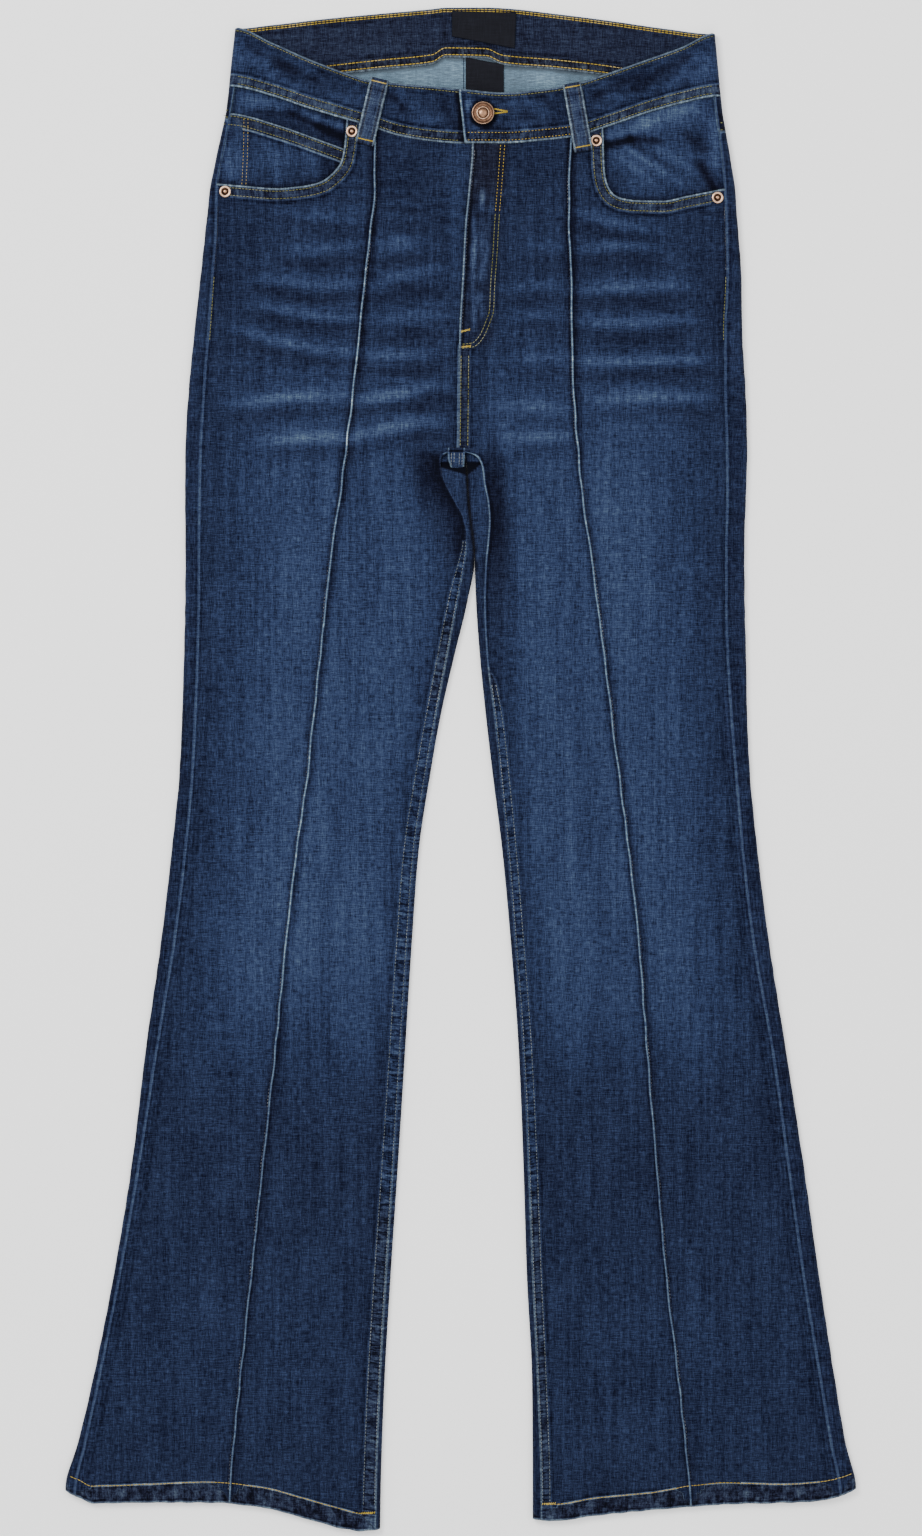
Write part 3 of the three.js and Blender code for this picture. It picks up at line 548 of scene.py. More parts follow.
class Front:
    """Points on a front panel's outer surface, with how far they are from its lines."""

    def __init__(self, side, x, y):
        self.side, self.x, self.y = side, x, y
        self.left = side == "left"
        self.across = -sign(side) * x
        self.from_side = upright(side, "side", x, y)
        self.from_tuck = upright(side, "tuck", x, y)
        self.from_edge = -upright(side, "edge", x, y)
        self.within = x - leg(side, y, "edge")
        from_mouth, self.along_mouth = MOUTH_LINES[side].near(x, y)
        self.from_mouth = np.abs(from_mouth)
        self.over_hem, self.hem = hem_near(side, x, y)
        self.crease, self.crease_fade_and_shade = whiskers(x, y)
        self.band = read(INSEAM_BAND, "y", y, side) * (y < INSEAM_TOP)
        if self.left:
            on_rise = (y > RISE_ENDS["low"]) & (y < RISE_ENDS["high"])
            self.band = self.band + RISE_BAND * on_rise
            self.from_fly, _ = FLY_LINE.near(x, y)
        else:
            self.from_fold, _ = FORK_FOLD.near(x, y, 30)
            self.by_fold = smooth((y - 138) / 30) * smooth((228 - y) / 8)

    def height(self):
        along = -self.y
        z = deck(self.side, self.x, self.y) + self.crease
        z = z + TUCK["height"] * np.clip(1 - (self.from_tuck / TUCK["half"]) ** 2, 0, 1) ** 1.5
        z = z + 0.14 * ripple(along, 9, 0.4) * bell(self.from_tuck, 6)
        z = z - 0.7 * bell(self.from_side, 0.9)
        z = z + 0.25 * ripple(along, 11, 2.2) * bell(self.from_side, 4)
        z = z + band_relief(self.over_hem, self.across, self.hem, 7.6, rise=0.5, rope=0.42)
        z = z + band_relief(self.from_mouth, self.along_mouth, MOUTH_BAND, 8.5, rise=0.5, rope=0.16)
        inseam = band_relief(self.from_edge, along, self.band, 6.4, rise=0.45, rope=0.24)
        z = z + inseam * (self.band > 0)
        return z + self.fly_relief() if self.left else z - 0.9 * self.fork_fold()

    def fly_relief(self):
        """The flap's step along its stitching, and the waves of the zip under it."""
        on_fly = smooth((self.from_fly + 0.6) / 1.5) * (self.from_edge > -1)
        on_fly = on_fly * (self.y > FLY_FOOT) * (self.x <= FLY_SIDE)
        step = smooth((self.y - FLY_FOOT) / 3) * smooth((FLY_SIDE - self.x) / 3) * on_fly
        zip_waves = ripple(self.y, 31, 0.3) * bell(self.within - 12, 5) * (self.y > 300)
        return 0.45 * step + 0.3 * zip_waves

    def fork_fold(self):
        """1 where the right thigh's cloth falls away outside its fold by the fork."""
        return self.by_fold * smooth(0.2 - self.from_fold / 2.4) * bell(self.from_fold, 11)

    # Fading of the front, with painted shade and highlight by its pintuck and by its fold at the fork
    def wear(self):
        x, y = self.x, self.y
        wide = np.abs(leg(self.side, y, "edge") - leg(self.side, y, "side"))
        share = self.from_side / np.maximum(wide, 1)
        wear = read(FADE_ACROSS, "share", share, "wear") * read(FADE_DOWN, "y", y, "share")
        wear = wear + self.crease_fade_and_shade + patches(PATCHES, x, y)
        brushed = ripple(y + 0.07 * x, 11, 0.3) * ripple(x + 0.3 * y, 63, 1.1)
        brushed = brushed + 0.8 * ripple(y - 0.05 * x, 6.8, 2.2) * ripple(x - 0.4 * y, 41, 0.4)
        wear = wear + 0.032 * brushed * smooth((y - 218) / 20)
        # painted shadow on both sides of the pintuck's ridge, deeper on one side and fainter down the
        # calf
        by_tuck = 0.08 * bell(np.abs(self.from_tuck) - 2.4, 1.3)
        by_tuck = by_tuck + 0.05 * bell(sign(self.side) * self.from_tuck - 3.5, 2.2)
        wear = wear - mix(0.35, 1, smooth((y + 280) / 120)) * by_tuck
        hem_corner = np.hypot((self.from_edge - 6) / 6, (self.over_hem - 6) / 7)
        wear = wear + 0.12 * bell(hem_corner, 1)
        wear = wear + MOUTH_WEAR[self.side] * (self.from_mouth < MOUTH_BAND)
        wear = wear + 0.03 * (self.band > 0) * (self.from_edge < self.band) * (y < CROTCH)
        if self.left:
            return wear + self.fly_wear()
        # painted shade outside the fold by the fork, and a painted highlight along its ridge
        ridge = self.by_fold * bell(self.from_fold - 2.5, 2.5)
        return wear - 0.15 * self.fork_fold() + 0.035 * ridge

    def on_flap(self):
        """1 on the fly's flap, on the left front."""
        flap = smooth((FLY_FLAP - self.within) / 6) * (self.within > -1)
        return smooth((self.y - 298) / 8) * flap

    def fly_wear(self):
        x, y = self.x, self.y
        over_zip = smooth((y - 306) / 20) * smooth((418 - y) / 14)
        wear = -0.04 * self.on_flap()
        for r in each(FLY_STREAKS):
            pale = r["pale"] * (0.5 + 0.5 * ripple(y, r["pitch"], r["place"]))
            wander = np.sin(y / 17 + r["place"])
            wear = wear + pale * bell(self.within - r["place"] - wander, 1.5) * over_zip
        wear = wear - 0.03 * bell(self.from_fly, 5) * (y > FLY_FOOT)
        wear = wear - 0.09 * bell(self.within - 3, 2) * over_zip
        zip_top = bell(np.hypot(x - 4, (y - 421) / 1.6), 6)
        return wear + 0.1 * bell(ripple(y, 6.5, 0.4) - 0.8, 0.5) * zip_top

    def raw(self):
        """How much of the denim's unworn colour shows, on the fly."""
        shape = np.broadcast(self.x, self.y).shape
        if not self.left:
            return np.zeros(shape)
        return self.on_flap() * mix(0.12, 0.6, smooth((self.y - 396) / 22))

    def seams(self):
        y, along = self.y, -self.y
        below_arch = y < CROTCH
        low = smooth((60 - y) / 60)
        plain = 1 - 0.6 * low * smooth((y + 330) / 110)
        if self.left:
            worn = mix(0.75, 1.2, smooth((y - 140) / 15) * below_arch)
            worn = np.where(y > RISE_ENDS["high"], 1.3, worn) * plain
            rope = np.where(below_arch, 2.1, 0.9)
        else:
            worn = mix(0.4, 0.75, smooth((155 - y) / 60)) * plain
            worn = np.where(self.band > 0, worn, np.where(below_arch, 0.15, 0.9))
            rope = np.where(self.band > 0, 2.2, 0)
        along_hem = 0.55 * self.across - 0.3 * self.over_hem
        return nearest(
            np.broadcast(self.x, y).shape,
            (1.5 * np.abs(self.from_tuck), along, 0, mix(1.0, 1.3, smooth((y - 190) / 60)), 0),
            (self.from_side, along, 6 * (y < 60), 0.62, 0.35 * low, 0),
            (self.over_hem, along_hem, self.hem, 0.9, 1.8, 1.3),
            (self.from_mouth, self.along_mouth, MOUTH_BAND, 1.1, 1.2),
            (self.from_edge, INSEAM_GRAIN * along, self.band, worn, rope, 0.3),
        )


def front_top(side, x, y):
    """How high a front panel's outer surface lies."""
    return Front(side, np.asarray(x, float), np.asarray(y, float)).height()


# ---------------------------------------------------------------- meshes


class Mesh:
    """Collects closed walls and small parts, and makes them one object."""

    def __init__(self):
        self.points, self.faces, self.slots, self.marks = [], [], [], []
        self.count = 0

    def add(self, points, faces, slots, marks):
        """marks: place in the cloth, fading and painted shade, seam (away, along, width), its
        (strength of pale lines and painted shade, rope, far) and how raw the denim is."""
        self.points.append(points)
        self.faces += [(f + self.count).tolist() for f in faces]
        self.slots.append(np.concatenate(slots))
        self.marks.append(marks)
        self.count += len(points)

    def wall(self, outer, inner, marks, inner_marks=None, keep=None, inner_slot=1):
        """A closed wall between two grids of points, with rounded borders."""
        rows, columns = outer.shape[:2]
        index = np.arange(rows * columns).reshape(rows, columns)
        if keep is None:
            keep = np.ones((rows - 1, columns - 1), bool)
        ring = np.stack([index[:-1, :-1], index[1:, :-1], index[1:, 1:], index[:-1, 1:]], -1)
        ring = ring[keep]
        o, n = outer.reshape(-1, 3), inner.reshape(-1, 3)
        facing = np.cross(o[ring[:, 2]] - o[ring[:, 0]], o[ring[:, 3]] - o[ring[:, 1]])
        if (facing * (o - n)[ring[:, 0]]).sum() < 0:
            ring = ring[:, ::-1]
        edges = np.concatenate([ring[:, [k, (k + 1) % 4]] for k in range(4)])
        size = rows * columns
        one_way, other_way = edges @ [size, 1], edges @ [1, size]
        border = edges[~np.isin(one_way, other_way)]
        on_border, place = np.unique(border, return_inverse=True)
        place = place.reshape(border.shape)
        a, b = border.T
        along = o[b] - o[a]
        out = np.cross(along, (o - n)[a])
        out /= np.linalg.norm(out, axis=1, keepdims=True) + 1e-9
        push = np.zeros((len(on_border), 3))
        for k in (0, 1):
            np.add.at(push, place[:, k], out)
        push /= np.linalg.norm(push, axis=1, keepdims=True) + 1e-9
        thick = np.linalg.norm((o - n)[on_border], axis=1, keepdims=True)
        middle = (o + n)[on_border] / 2 + push * np.minimum(0.3 * thick, 0.5)
        mid_a, mid_b = (place + 2 * size).T
        sides = [
            np.stack([b, a, mid_a, mid_b], -1),
            np.stack([mid_b, mid_a, a + size, b + size], -1),
        ]
        faces = np.concatenate([ring, ring[:, ::-1] + size, *sides])
        slots = np.zeros(len(faces), int)
        slots[len(ring) : 2 * len(ring)] = inner_slot
        points = np.concatenate([o, n, middle])
        if inner_marks is None:
            plain = nearest((size,))
            inner_marks = [marks[0].reshape(-1, 2), np.zeros(size), *plain]
        marks, inner_marks = ([*m, 0 * m[1]][:5] for m in (marks, inner_marks))
        both = [
            np.concatenate([m.reshape(size, *m.shape[2:]), i.reshape(size, *m.shape[2:])])
            for m, i in zip(marks, inner_marks, strict=True)
        ]
        both = [np.concatenate([m, m[on_border]]) for m in both]
        used, faces = np.unique(faces, return_inverse=True)
        faces = faces.reshape(-1, 4)
        self.add(points[used], faces, [slots], [m[used] for m in both])
        return self

    def make(self, name, materials, nodes=(), slot="denim", autosmooth=None, centre=(0, 0, 0)):
        mesh = bpy.data.meshes.new(name)
        points = (np.concatenate(self.points) - centre) * MM
        mesh.from_pydata(points.tolist(), [], self.faces)
        for material in materials:
            mesh.materials.append(material)
        mesh.polygons.foreach_set("material_index", np.concatenate(self.slots).astype(np.int32))
        mesh.polygons.foreach_set("use_smooth", np.ones(len(self.faces), bool))
        if self.marks[0] is not None:
            cloth, wear, seam, worn, raw = (np.concatenate(m) for m in zip(*self.marks, strict=True))
            cloth = np.column_stack([cloth, worn[:, 2]])
            worn = np.column_stack([worn[:, :2], wear])
            for label, values in (("cloth", cloth), ("seam", seam), ("worn", worn)):
                layer = mesh.attributes.new(label, "FLOAT_VECTOR", "POINT")
                layer.data.foreach_set("vector", values.astype(np.float32).ravel())
            layer = mesh.attributes.new("raw", "FLOAT", "POINT")
            layer.data.foreach_set("value", raw.astype(np.float32))
        mesh.update()
        if autosmooth:
            mesh.set_sharp_from_angle(angle=np.radians(autosmooth))
        piece = bpy.data.objects.new(name, mesh)
        piece.location = np.array(centre) * MM
        bpy.context.scene.collection.objects.link(piece)
        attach(piece, "root")
        if nodes:
            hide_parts(*nodes)
        return piece


def grid(x, y, z):
    return np.stack(np.broadcast_arrays(x, y, z), -1).astype(float)


def in_cloth(x, y):
    return grid(x, y, 0)[..., :2]


# ---------------------------------------------------------------- materials


class Shader:
    """A material's node tree, built by calls that return sockets."""

    def __init__(self, name, specular=0.5, **settings):
        self.material = bpy.data.materials.new(name)
        self.material.use_nodes = True
        self.tree = self.material.node_tree
        self.surface = self.tree.nodes["Principled BSDF"]
        for socket, value in settings.items():
            self.put(self.surface.inputs[socket.replace("_", " ").title()], value)
        self.put(self.surface.inputs["Specular IOR Level"], specular)

    def put(self, socket, value):
        if isinstance(value, bpy.types.NodeSocket):
            self.tree.links.new(value, socket)
        else:
            socket.default_value = value

    def node(self, kind, *values, out=0, **settings):
        node = self.tree.nodes.new("ShaderNode" + kind)
        for key, value in settings.items():
            setattr(node, key, value)
        for socket, value in zip(node.inputs, values, strict=False):
            if value is not None:
                self.put(socket, value)
        return node.outputs[out]

    def math(self, operation, *values, clamp=False):
        return self.node("Math", *values, operation=operation, use_clamp=clamp)

    def total(self, first, *rest):
        for value in rest:
            first = self.math("ADD", first, value)
        return first

    def times(self, *values):
        first, *rest = values
        for value in rest:
            first = self.math("MULTIPLY", first, value)
        return first

    def ramp(self, value, start, end):
        """0 at start and 1 at end, eased."""
        return self.node(
            "MapRange", value, start, end, 0.0, 1.0, interpolation_type="SMOOTHSTEP"
        )

    def attribute(self, name, out=2):
        return self.node("Attribute", attribute_name=name, out=out)

    def noise(self, vector, *scale, detail=2.0, rough=0.5):
        """Noise about 0, from -0.5 to 0.5, with a scale for each axis."""
        place = self.node("VectorMath", vector, scale, operation="MULTIPLY")
        node = self.tree.nodes.new("ShaderNodeTexNoise")
        self.put(node.inputs["Vector"], place)
        for key, value in (("Scale", 1.0), ("Detail", detail), ("Roughness", rough)):
            self.put(node.inputs[key], value)
        return self.math("SUBTRACT", node.outputs[0], 0.5)

    def colours(self, value, *stops):
        node = self.tree.nodes.new("ShaderNodeValToRGB")
        self.put(node.inputs[0], value)
        ramp = node.color_ramp
        while len(ramp.elements) < len(stops):
            ramp.elements.new(0.5)
        for element, (place, colour) in zip(ramp.elements, stops, strict=True):
            element.position, element.color = place, (*colour, 1)
        return node.outputs[0]

    def blend(self, share, first, second):
        node = self.tree.nodes.new("ShaderNodeMix")
        node.data_type = "RGBA"
        for key, value in ((0, share), (6, first), (7, second)):
            self.put(node.inputs[key], value)
        return node.outputs[2]

    def finish(self, colour, height, strength, distance):
        """Puts the colour and a bump on the surface, and returns the material."""
        self.put(self.surface.inputs["Base Color"], colour)
        node = self.tree.nodes.new("ShaderNodeBump")
        for key, value in (("Strength", strength), ("Distance", distance), ("Height", height)):
            self.put(node.inputs[key], value)
        self.put(self.surface.inputs["Normal"], node.outputs[0])
        return self.material


def rgb(*values):
    """A colour given as 0 to 255 on screen, as linear light."""
    c = np.array(values) / 255
    return tuple(np.where(c <= 0.04045, c / 12.92, ((c + 0.055) / 1.055) ** 2.4).tolist())


# What denim colours are as worn, from 0 for black to 1 for the palest
INDIGO = (
    (0.06, rgb(1, 2, 14)), (0.132, rgb(6, 11, 30)), (0.229, rgb(20, 27, 47)),
    (0.325, rgb(31, 41, 67)), (0.418, rgb(42, 54, 79)), (0.54, rgb(57, 71, 90)),
    (0.645, rgb(72, 87, 102)), (0.74, rgb(85, 105, 120)), (0.855, rgb(114, 131, 139)),
    (0.975, rgb(160, 172, 177)),
)
# The same where denim is hardly worn: in sewn bands, and on the fly
RAW = (
    (0.05, rgb(2, 3, 9)), (0.11, rgb(9, 9, 19)), (0.15, rgb(15, 15, 27)), (0.2, rgb(20, 22, 36)),
    (0.26, rgb(28, 32, 45)), (0.34, rgb(39, 44, 55)), (0.45, rgb(54, 61, 68)),
    (0.58, rgb(71, 79, 85)), (0.74, rgb(90, 104, 118)), (0.975, rgb(160, 172, 177)),
)
# The paler reverse, seen inside the back waistband
REVERSE = (
    (0.1, rgb(10, 14, 22)), (0.365, rgb(39, 49, 59)), (0.566, rgb(63, 74, 83)),
    (0.655, rgb(72, 88, 101)), (0.725, rgb(82, 101, 116)), (0.886, rgb(118, 143, 157)),
)


def denim(name, base=0.215, stops=(INDIGO, RAW), grain=1.0, threads=(0.49, 0.54)):
    """Denim: a fine uneven weave, faded where rubbed, with pale roped seams, and painted shade in their
    stitch grooves and beside them.
    """
    s = Shader(name, specular=0.06, roughness=0.92, sheen_weight=0.03, sheen_roughness=0.5)
    cloth = s.attribute("cloth", out=1)
    far = s.node("SeparateXYZ", cloth, out=2)
    seam = s.node("SeparateXYZ", s.attribute("seam", out=1)).node
    away, along, width = seam.outputs
    worn = s.node("SeparateXYZ", s.attribute("worn", out=1)).node
    seam_wear_and_shade, rope_wear, wear = worn.outputs

    warp = s.noise(cloth, 1.25, 0.15, 0, detail=2, rough=0.6)
    weft = s.noise(cloth, 0.15, 1.4, 0, detail=2, rough=0.6)
    slub = s.noise(cloth, 0.4, 0.012, 0)
    pick = s.noise(cloth, 0.014, 0.5, 0)
    fleck = s.noise(cloth, 1.1, 1.0, 0, detail=2, rough=0.7)
    mottle = s.noise(cloth, 0.035, 0.022, 0, detail=2)
    streaked = s.noise(cloth, 0.11, 0.018, 0, detail=2)
    weave = s.total(
        s.times(warp, threads[0]),
        s.times(weft, threads[1]),
        s.times(slub, 0.23),
        s.times(pick, 0.12),
        s.times(fleck, 0.3),
    )
    grain = s.math("MULTIPLY_ADD", wear, 1.7 * grain, 0.8 * grain)
    level = s.total(base, wear, s.times(mottle, 0.08), s.times(streaked, 0.09), s.times(weave, grain))

    def near(distance, reach):
        """1 where a distance is 0, falling to 0 at reach."""
        return s.math("SUBTRACT", 1.0, s.math("DIVIDE", s.math("ABSOLUTE", distance), reach), clamp=True)

    from_edge = s.math("ABSOLUTE", away)
    past = s.math("SUBTRACT", from_edge, width)
    inside = s.math("LESS_THAN", past, 0.2)
    banded = s.math("GREATER_THAN", width, 0.5)
    place = s.node("CombineXYZ", along, away, 0.0)
    uneven = s.math("MULTIPLY_ADD", s.noise(place, 0.3, 0.05, 1), 1.4, 0.8)
    line = s.math("SUBTRACT", 1.0, s.ramp(from_edge, 0.35, 1.35))
    far_line = s.times(s.math("SUBTRACT", 1.0, s.ramp(s.math("ABSOLUTE", past), 0.3, 1.2)), banded, far)
    lines = s.times(s.total(line, far_line), uneven, 0.46)
    # painted shade in the stitch grooves of a sewn band
    grooves = s.total(near(s.math("SUBTRACT", from_edge, 1.9), 1.1), near(s.math("ADD", past, 1.0), 1.1))
    grooves = s.times(grooves, banded, -0.1)
    skew = s.node("CombineXYZ", s.math("MULTIPLY_ADD", away, 0.3, along), away, 0.0)
    bars = s.noise(skew, 0.24, 0.09, 1, detail=4, rough=0.8)
    bars = s.math("MAXIMUM", s.math("MINIMUM", s.times(bars, 2.6), 0.65), -0.38)
    roping = s.times(bars, inside, banded, rope_wear, 0.28)
    # painted shadow just beside a sewn band or seam line
    hollow = near(s.math("SUBTRACT", past, 1.9), 1.9)
    painted_seam_shadows = s.times(hollow, s.math("MULTIPLY_ADD", s.noise(place, 0.16, 0.03, 1), 1.2, 0.7), -0.13)
    value = s.total(level, s.times(s.total(lines, painted_seam_shadows, grooves), seam_wear_and_shade), roping)

    worn_colour, raw_colour = (s.colours(value, *rows) for rows in stops)
    raw = s.math("MULTIPLY", s.math("SUBTRACT", 0.04, wear), 2.0, clamp=True)
    raw = s.total(raw, s.times(inside, banded, s.ramp(seam_wear_and_shade, 0.65, 0.8), 0.5), s.attribute("raw"))
    raw = s.math("MINIMUM", raw, 1.0)
    colour = s.blend(raw, worn_colour, raw_colour)
    relief = s.total(warp, weft, fleck, s.times(bars, inside, banded, rope_wear, 1.5))
    return s.finish(colour, relief, 0.5, 0.4 * MM)


def thread(name, *colour):
    """Twisted thread, a little paler and darker along its rows."""
    s = Shader(name, specular=0.15, roughness=0.7, sheen_weight=0.1)
    place = s.node("TexCoord", out=3)
    twist = s.noise(place, 900, 900, 900, detail=1)
    fade = s.noise(place, 55, 55, 55, detail=2)
    value = s.math("MULTIPLY_ADD", twist, 0.5, s.math("MULTIPLY_ADD", fade, 1.5, 0.5))
    plain = np.array(rgb(*colour))
    stops = (0.1, tuple(0.6 * plain)), (0.5, tuple(plain)), (0.95, tuple(0.8 * plain + 0.12))
    return s.finish(s.colours(value, *stops), twist, 0.4, 0.2 * MM)


COPPER = (
    (0.08, rgb(22, 14, 12)), (0.4, rgb(84, 60, 46)), (0.7, rgb(134, 102, 80)),
    (1.0, rgb(206, 176, 152)),
)


def copper(name, *rings):
    """Aged copper, with painted shade in its grooves and painted highlight on its raised rings: rings
    are (radius, shade).
    """
    s = Shader(name, metallic=1.0)
    place = s.node("TexCoord", out=3)
    stain = s.noise(place, 420, 420, 420, detail=3, rough=0.6)
    scratch = s.noise(place, 2600, 2600, 2600, detail=2, rough=0.7)
    across = s.node("VectorMath", place, (1, 1, 0), operation="MULTIPLY")
    radius = s.node("VectorMath", across, operation="LENGTH", out=1)
    share = s.math("DIVIDE", radius, rings[-1][0] * MM)
    shade = s.colours(share, *((r / rings[-1][0], (v, v, v)) for r, v in rings))
    value = s.total(s.times(shade, 0.9), s.times(stain, 0.5), s.times(scratch, 0.2))
    colour = s.colours(value, *COPPER)
    s.put(s.surface.inputs["Roughness"], s.math("MULTIPLY_ADD", stain, 0.25, 0.34))
    return s.finish(colour, scratch, 0.15, 0.2 * MM)


def woven(name):
    """Black satin label tape with a fine rib."""
    s = Shader(name, specular=0.08, roughness=0.7)
    place = s.node("TexCoord", out=3)
    rib = s.noise(place, 60, 2200, 60, detail=1)
    fray = s.noise(place, 1500, 90, 60, detail=1)
    value = s.total(0.4, s.times(rib, 0.6), s.times(fray, 0.5))
    stops = (0.1, rgb(4, 4, 9)), (0.5, rgb(13, 14, 21)), (0.9, rgb(30, 32, 40))
    return s.finish(s.colours(value, *stops), s.total(rib, fray), 0.5, 0.2 * MM)


DENIM_FRONT = denim("denim")
DENIM_REVERSE = denim(
    "denim_reverse", base=0.67, stops=(REVERSE, REVERSE), grain=0.7, threads=(0.12, 0.8)
)
GOLD = thread("thread_gold", 154, 130, 33)
OLIVE = thread("thread_olive", 96, 96, 42)
NAVY = thread("thread_navy", 10, 16, 34)
GREY = thread("thread_grey", 84, 92, 94)
BUTTON_COPPER = copper(
    "copper_button",
    (0, 0.72), (1.8, 0.75), (2.9, 0.6), (3.4, 0.34), (3.9, 0.46), (4.15, 1.0), (4.5, 0.92),
    (4.8, 0.4), (6.4, 0.5), (6.9, 0.26), (7.3, 0.38), (7.6, 1.0), (8.0, 0.9), (8.2, 0.1),
)
RIVET_COPPER = copper(
    "copper_rivet",
    (0, 0.9), (0.8, 0.8), (1.4, 0.3), (2.3, 0.05), (2.6, 0.4), (2.9, 0.9), (3.9, 1), (4.3, 0.4),
)
TAPE = woven("label_tape")

# ---------------------------------------------------------------- stitches and small parts

SIX = np.arange(6) * PI / 3
STITCH_RINGS = ((-0.36, 0.78), (0.0, 1.0), (0.36, 0.78))
GROOVE = 0.1  # how deep a row of stitches sinks in


def capsule():
    """One stitch along x, of length 1 and radius 1, and its faces."""
    rings = [(x, r * np.cos(t), r * np.sin(t)) for x, r in STITCH_RINGS for t in SIX]
    points = [(-0.5, 0, 0), *rings, (0.5, 0, 0)]
    tip = len(points) - 1
    tris, quads = [], []
    for i in range(6):
        j = (i + 1) % 6
        tris += [(0, 1 + j, 1 + i), (tip, tip - 6 + i, tip - 6 + j)]
        quads += [(k + i, k + j, k + 6 + j, k + 6 + i) for k in (1, 7)]
    return np.array(points), np.array(tris), np.array(quads)


CAPSULE = capsule()


class Stitching(Mesh):
    """Rows of stitches, each a small capsule that lies in its groove."""

    def row(self, points, pitch=2.4, long=2.0, wide=0.24, high=0.22):
        points = np.asarray(points, float)
        steps = np.linalg.norm(np.diff(points, axis=0), axis=1)
        places = np.concatenate([[0], np.cumsum(steps)])
        at = np.arange(pitch / 2, places[-1], pitch)
        if not len(at):
            return

        def point(s):
            s = np.clip(s, 0, places[-1])
            return np.stack([np.interp(s, places, points[:, k]) for k in range(3)], -1)

        ahead = point(at + 1) - point(at - 1)
        self.stitches(point(at), ahead, long, wide, high, sink=GROOVE)

    def stitches(self, centre, ahead, long, wide, high, sink=0.0):
        ahead = ahead / np.linalg.norm(ahead, axis=1, keepdims=True)
        beside = np.cross([0, 0, 1], ahead)
        beside /= np.linalg.norm(beside, axis=1, keepdims=True)
        up = np.cross(ahead, beside)
        shape, tris, quads = CAPSULE
        uneven = 1 + 0.12 * np.sin(np.arange(len(centre)) * 2.4)[:, None, None]
        points = (
            centre[:, None]
            + shape[None, :, :1] * (ahead * long)[:, None] * uneven
            + shape[None, :, 1:2] * (beside * wide)[:, None]
            + (shape[None, :, 2:] * high + high - sink) * up[:, None]
        )
        shift = (np.arange(len(centre)) * len(shape))[:, None, None]
        tris = (tris[None] + shift).reshape(-1, 3)
        quads = (quads[None] + shift).reshape(-1, 4)
        slots = [np.zeros(len(tris) + len(quads), int)]
        self.add(points.reshape(-1, 3), [*tris, *quads], slots, None)


class Threads:
    """The stitching of one piece, one mesh for each colour of thread."""

    def __init__(self, name):
        self.name, self.meshes = name, {}

    def row(self, material, points, **sizes):
        self.of(material).row(points, **sizes)

    def of(self, material):
        return self.meshes.setdefault(material.name, Stitching())

    def make(self):
        for material, mesh in self.meshes.items():
            if mesh.points:
                name = f"{self.name}_{material}"
                mesh.make(name, [bpy.data.materials[material]], slot="thread")

    def tack(self, material, centre, ahead, length, count, tall=1.8):
        """A bar tack: close stitches across a line through centre, and one along it."""
        centre, ahead = np.asarray(centre, float), np.asarray(ahead, float)
        ahead = ahead / np.linalg.norm(ahead)
        at = np.linspace(-0.5, 0.5, count)[:, None] * length
        middle = centre + at * ahead
        across = np.cross([0, 0, 1], ahead) + 0.35 * ahead
        self.of(material).stitches(middle, np.tile(across, (count, 1)), tall, 0.3, 0.3)
        self.of(material).stitches(centre[None] - 0.05, ahead[None], length + 0.4, 0.3, 0.3)


def on_surface(height, x, y):
    """Points at x and y, at the height that a function gives there."""
    return np.column_stack([x, y, height(x, y)])


def upright_row(side, column, away, high, low, height, step=2.0):
    """Points down an upright line of a leg, moved away from it towards the fold."""
    y = np.arange(high, low, -step)
    x = leg(side, y, column) + sign(side) * away * np.sqrt(1 + lean(side, y, column) ** 2)
    return on_surface(height, x, y)


# ---------------------------------------------------------------- front panels

TOP_SHARES = np.array([0, 0.012, 0.03, 0.06, 0.1, *np.linspace(0.14, 1, 22)])
HEM_ABOVE = np.linspace(0, 1, 9)  # rows down to the hem
HEM_OVER = (1.6, 0.8, 0, -0.8, -1.6)  # rows about the hem's stitch line
HEM_SHARES = (0.3, 0.45, 0.6, 0.74, 0.86, 0.93, 0.97, 1.0)
HEM_ROWS = len(HEM_ABOVE) + len(HEM_OVER) + len(HEM_SHARES)
ARCH = (230, 204, 0.8)  # closer rows round the crotch


def level_rows():
    """y of the level rows of a leg, from the top down."""
    plain = np.arange(TOP_ZONE - MESH_STEP, HEM_ZONE, -MESH_STEP)
    high, low, step = ARCH
    arch = np.arange(high, low - HAIR, -step)
    return np.concatenate([plain[plain > high], arch, plain[plain < low]])


def hem_rows(side, x):
    """y of the rows of a leg's hem, for each x."""
    stitch = read(HEMS[side], "x", x, "stitch")
    edge = hem_edge(side, x)
    above = [mix(HEM_ZONE, stitch + 3, t) for t in HEM_ABOVE]
    about = [stitch + over for over in HEM_OVER]
    below = [mix(stitch, edge, t) for t in HEM_SHARES]
    return np.stack([*above, *about, *below])


def settle(column_x, row_y, rows, columns):
    """The points where columns x(y) and rows y(x) cross."""
    y = row_y(np.zeros((rows, columns)))
    for _ in range(8):
        x = column_x(y)
        y = row_y(x)
    return column_x(y), y


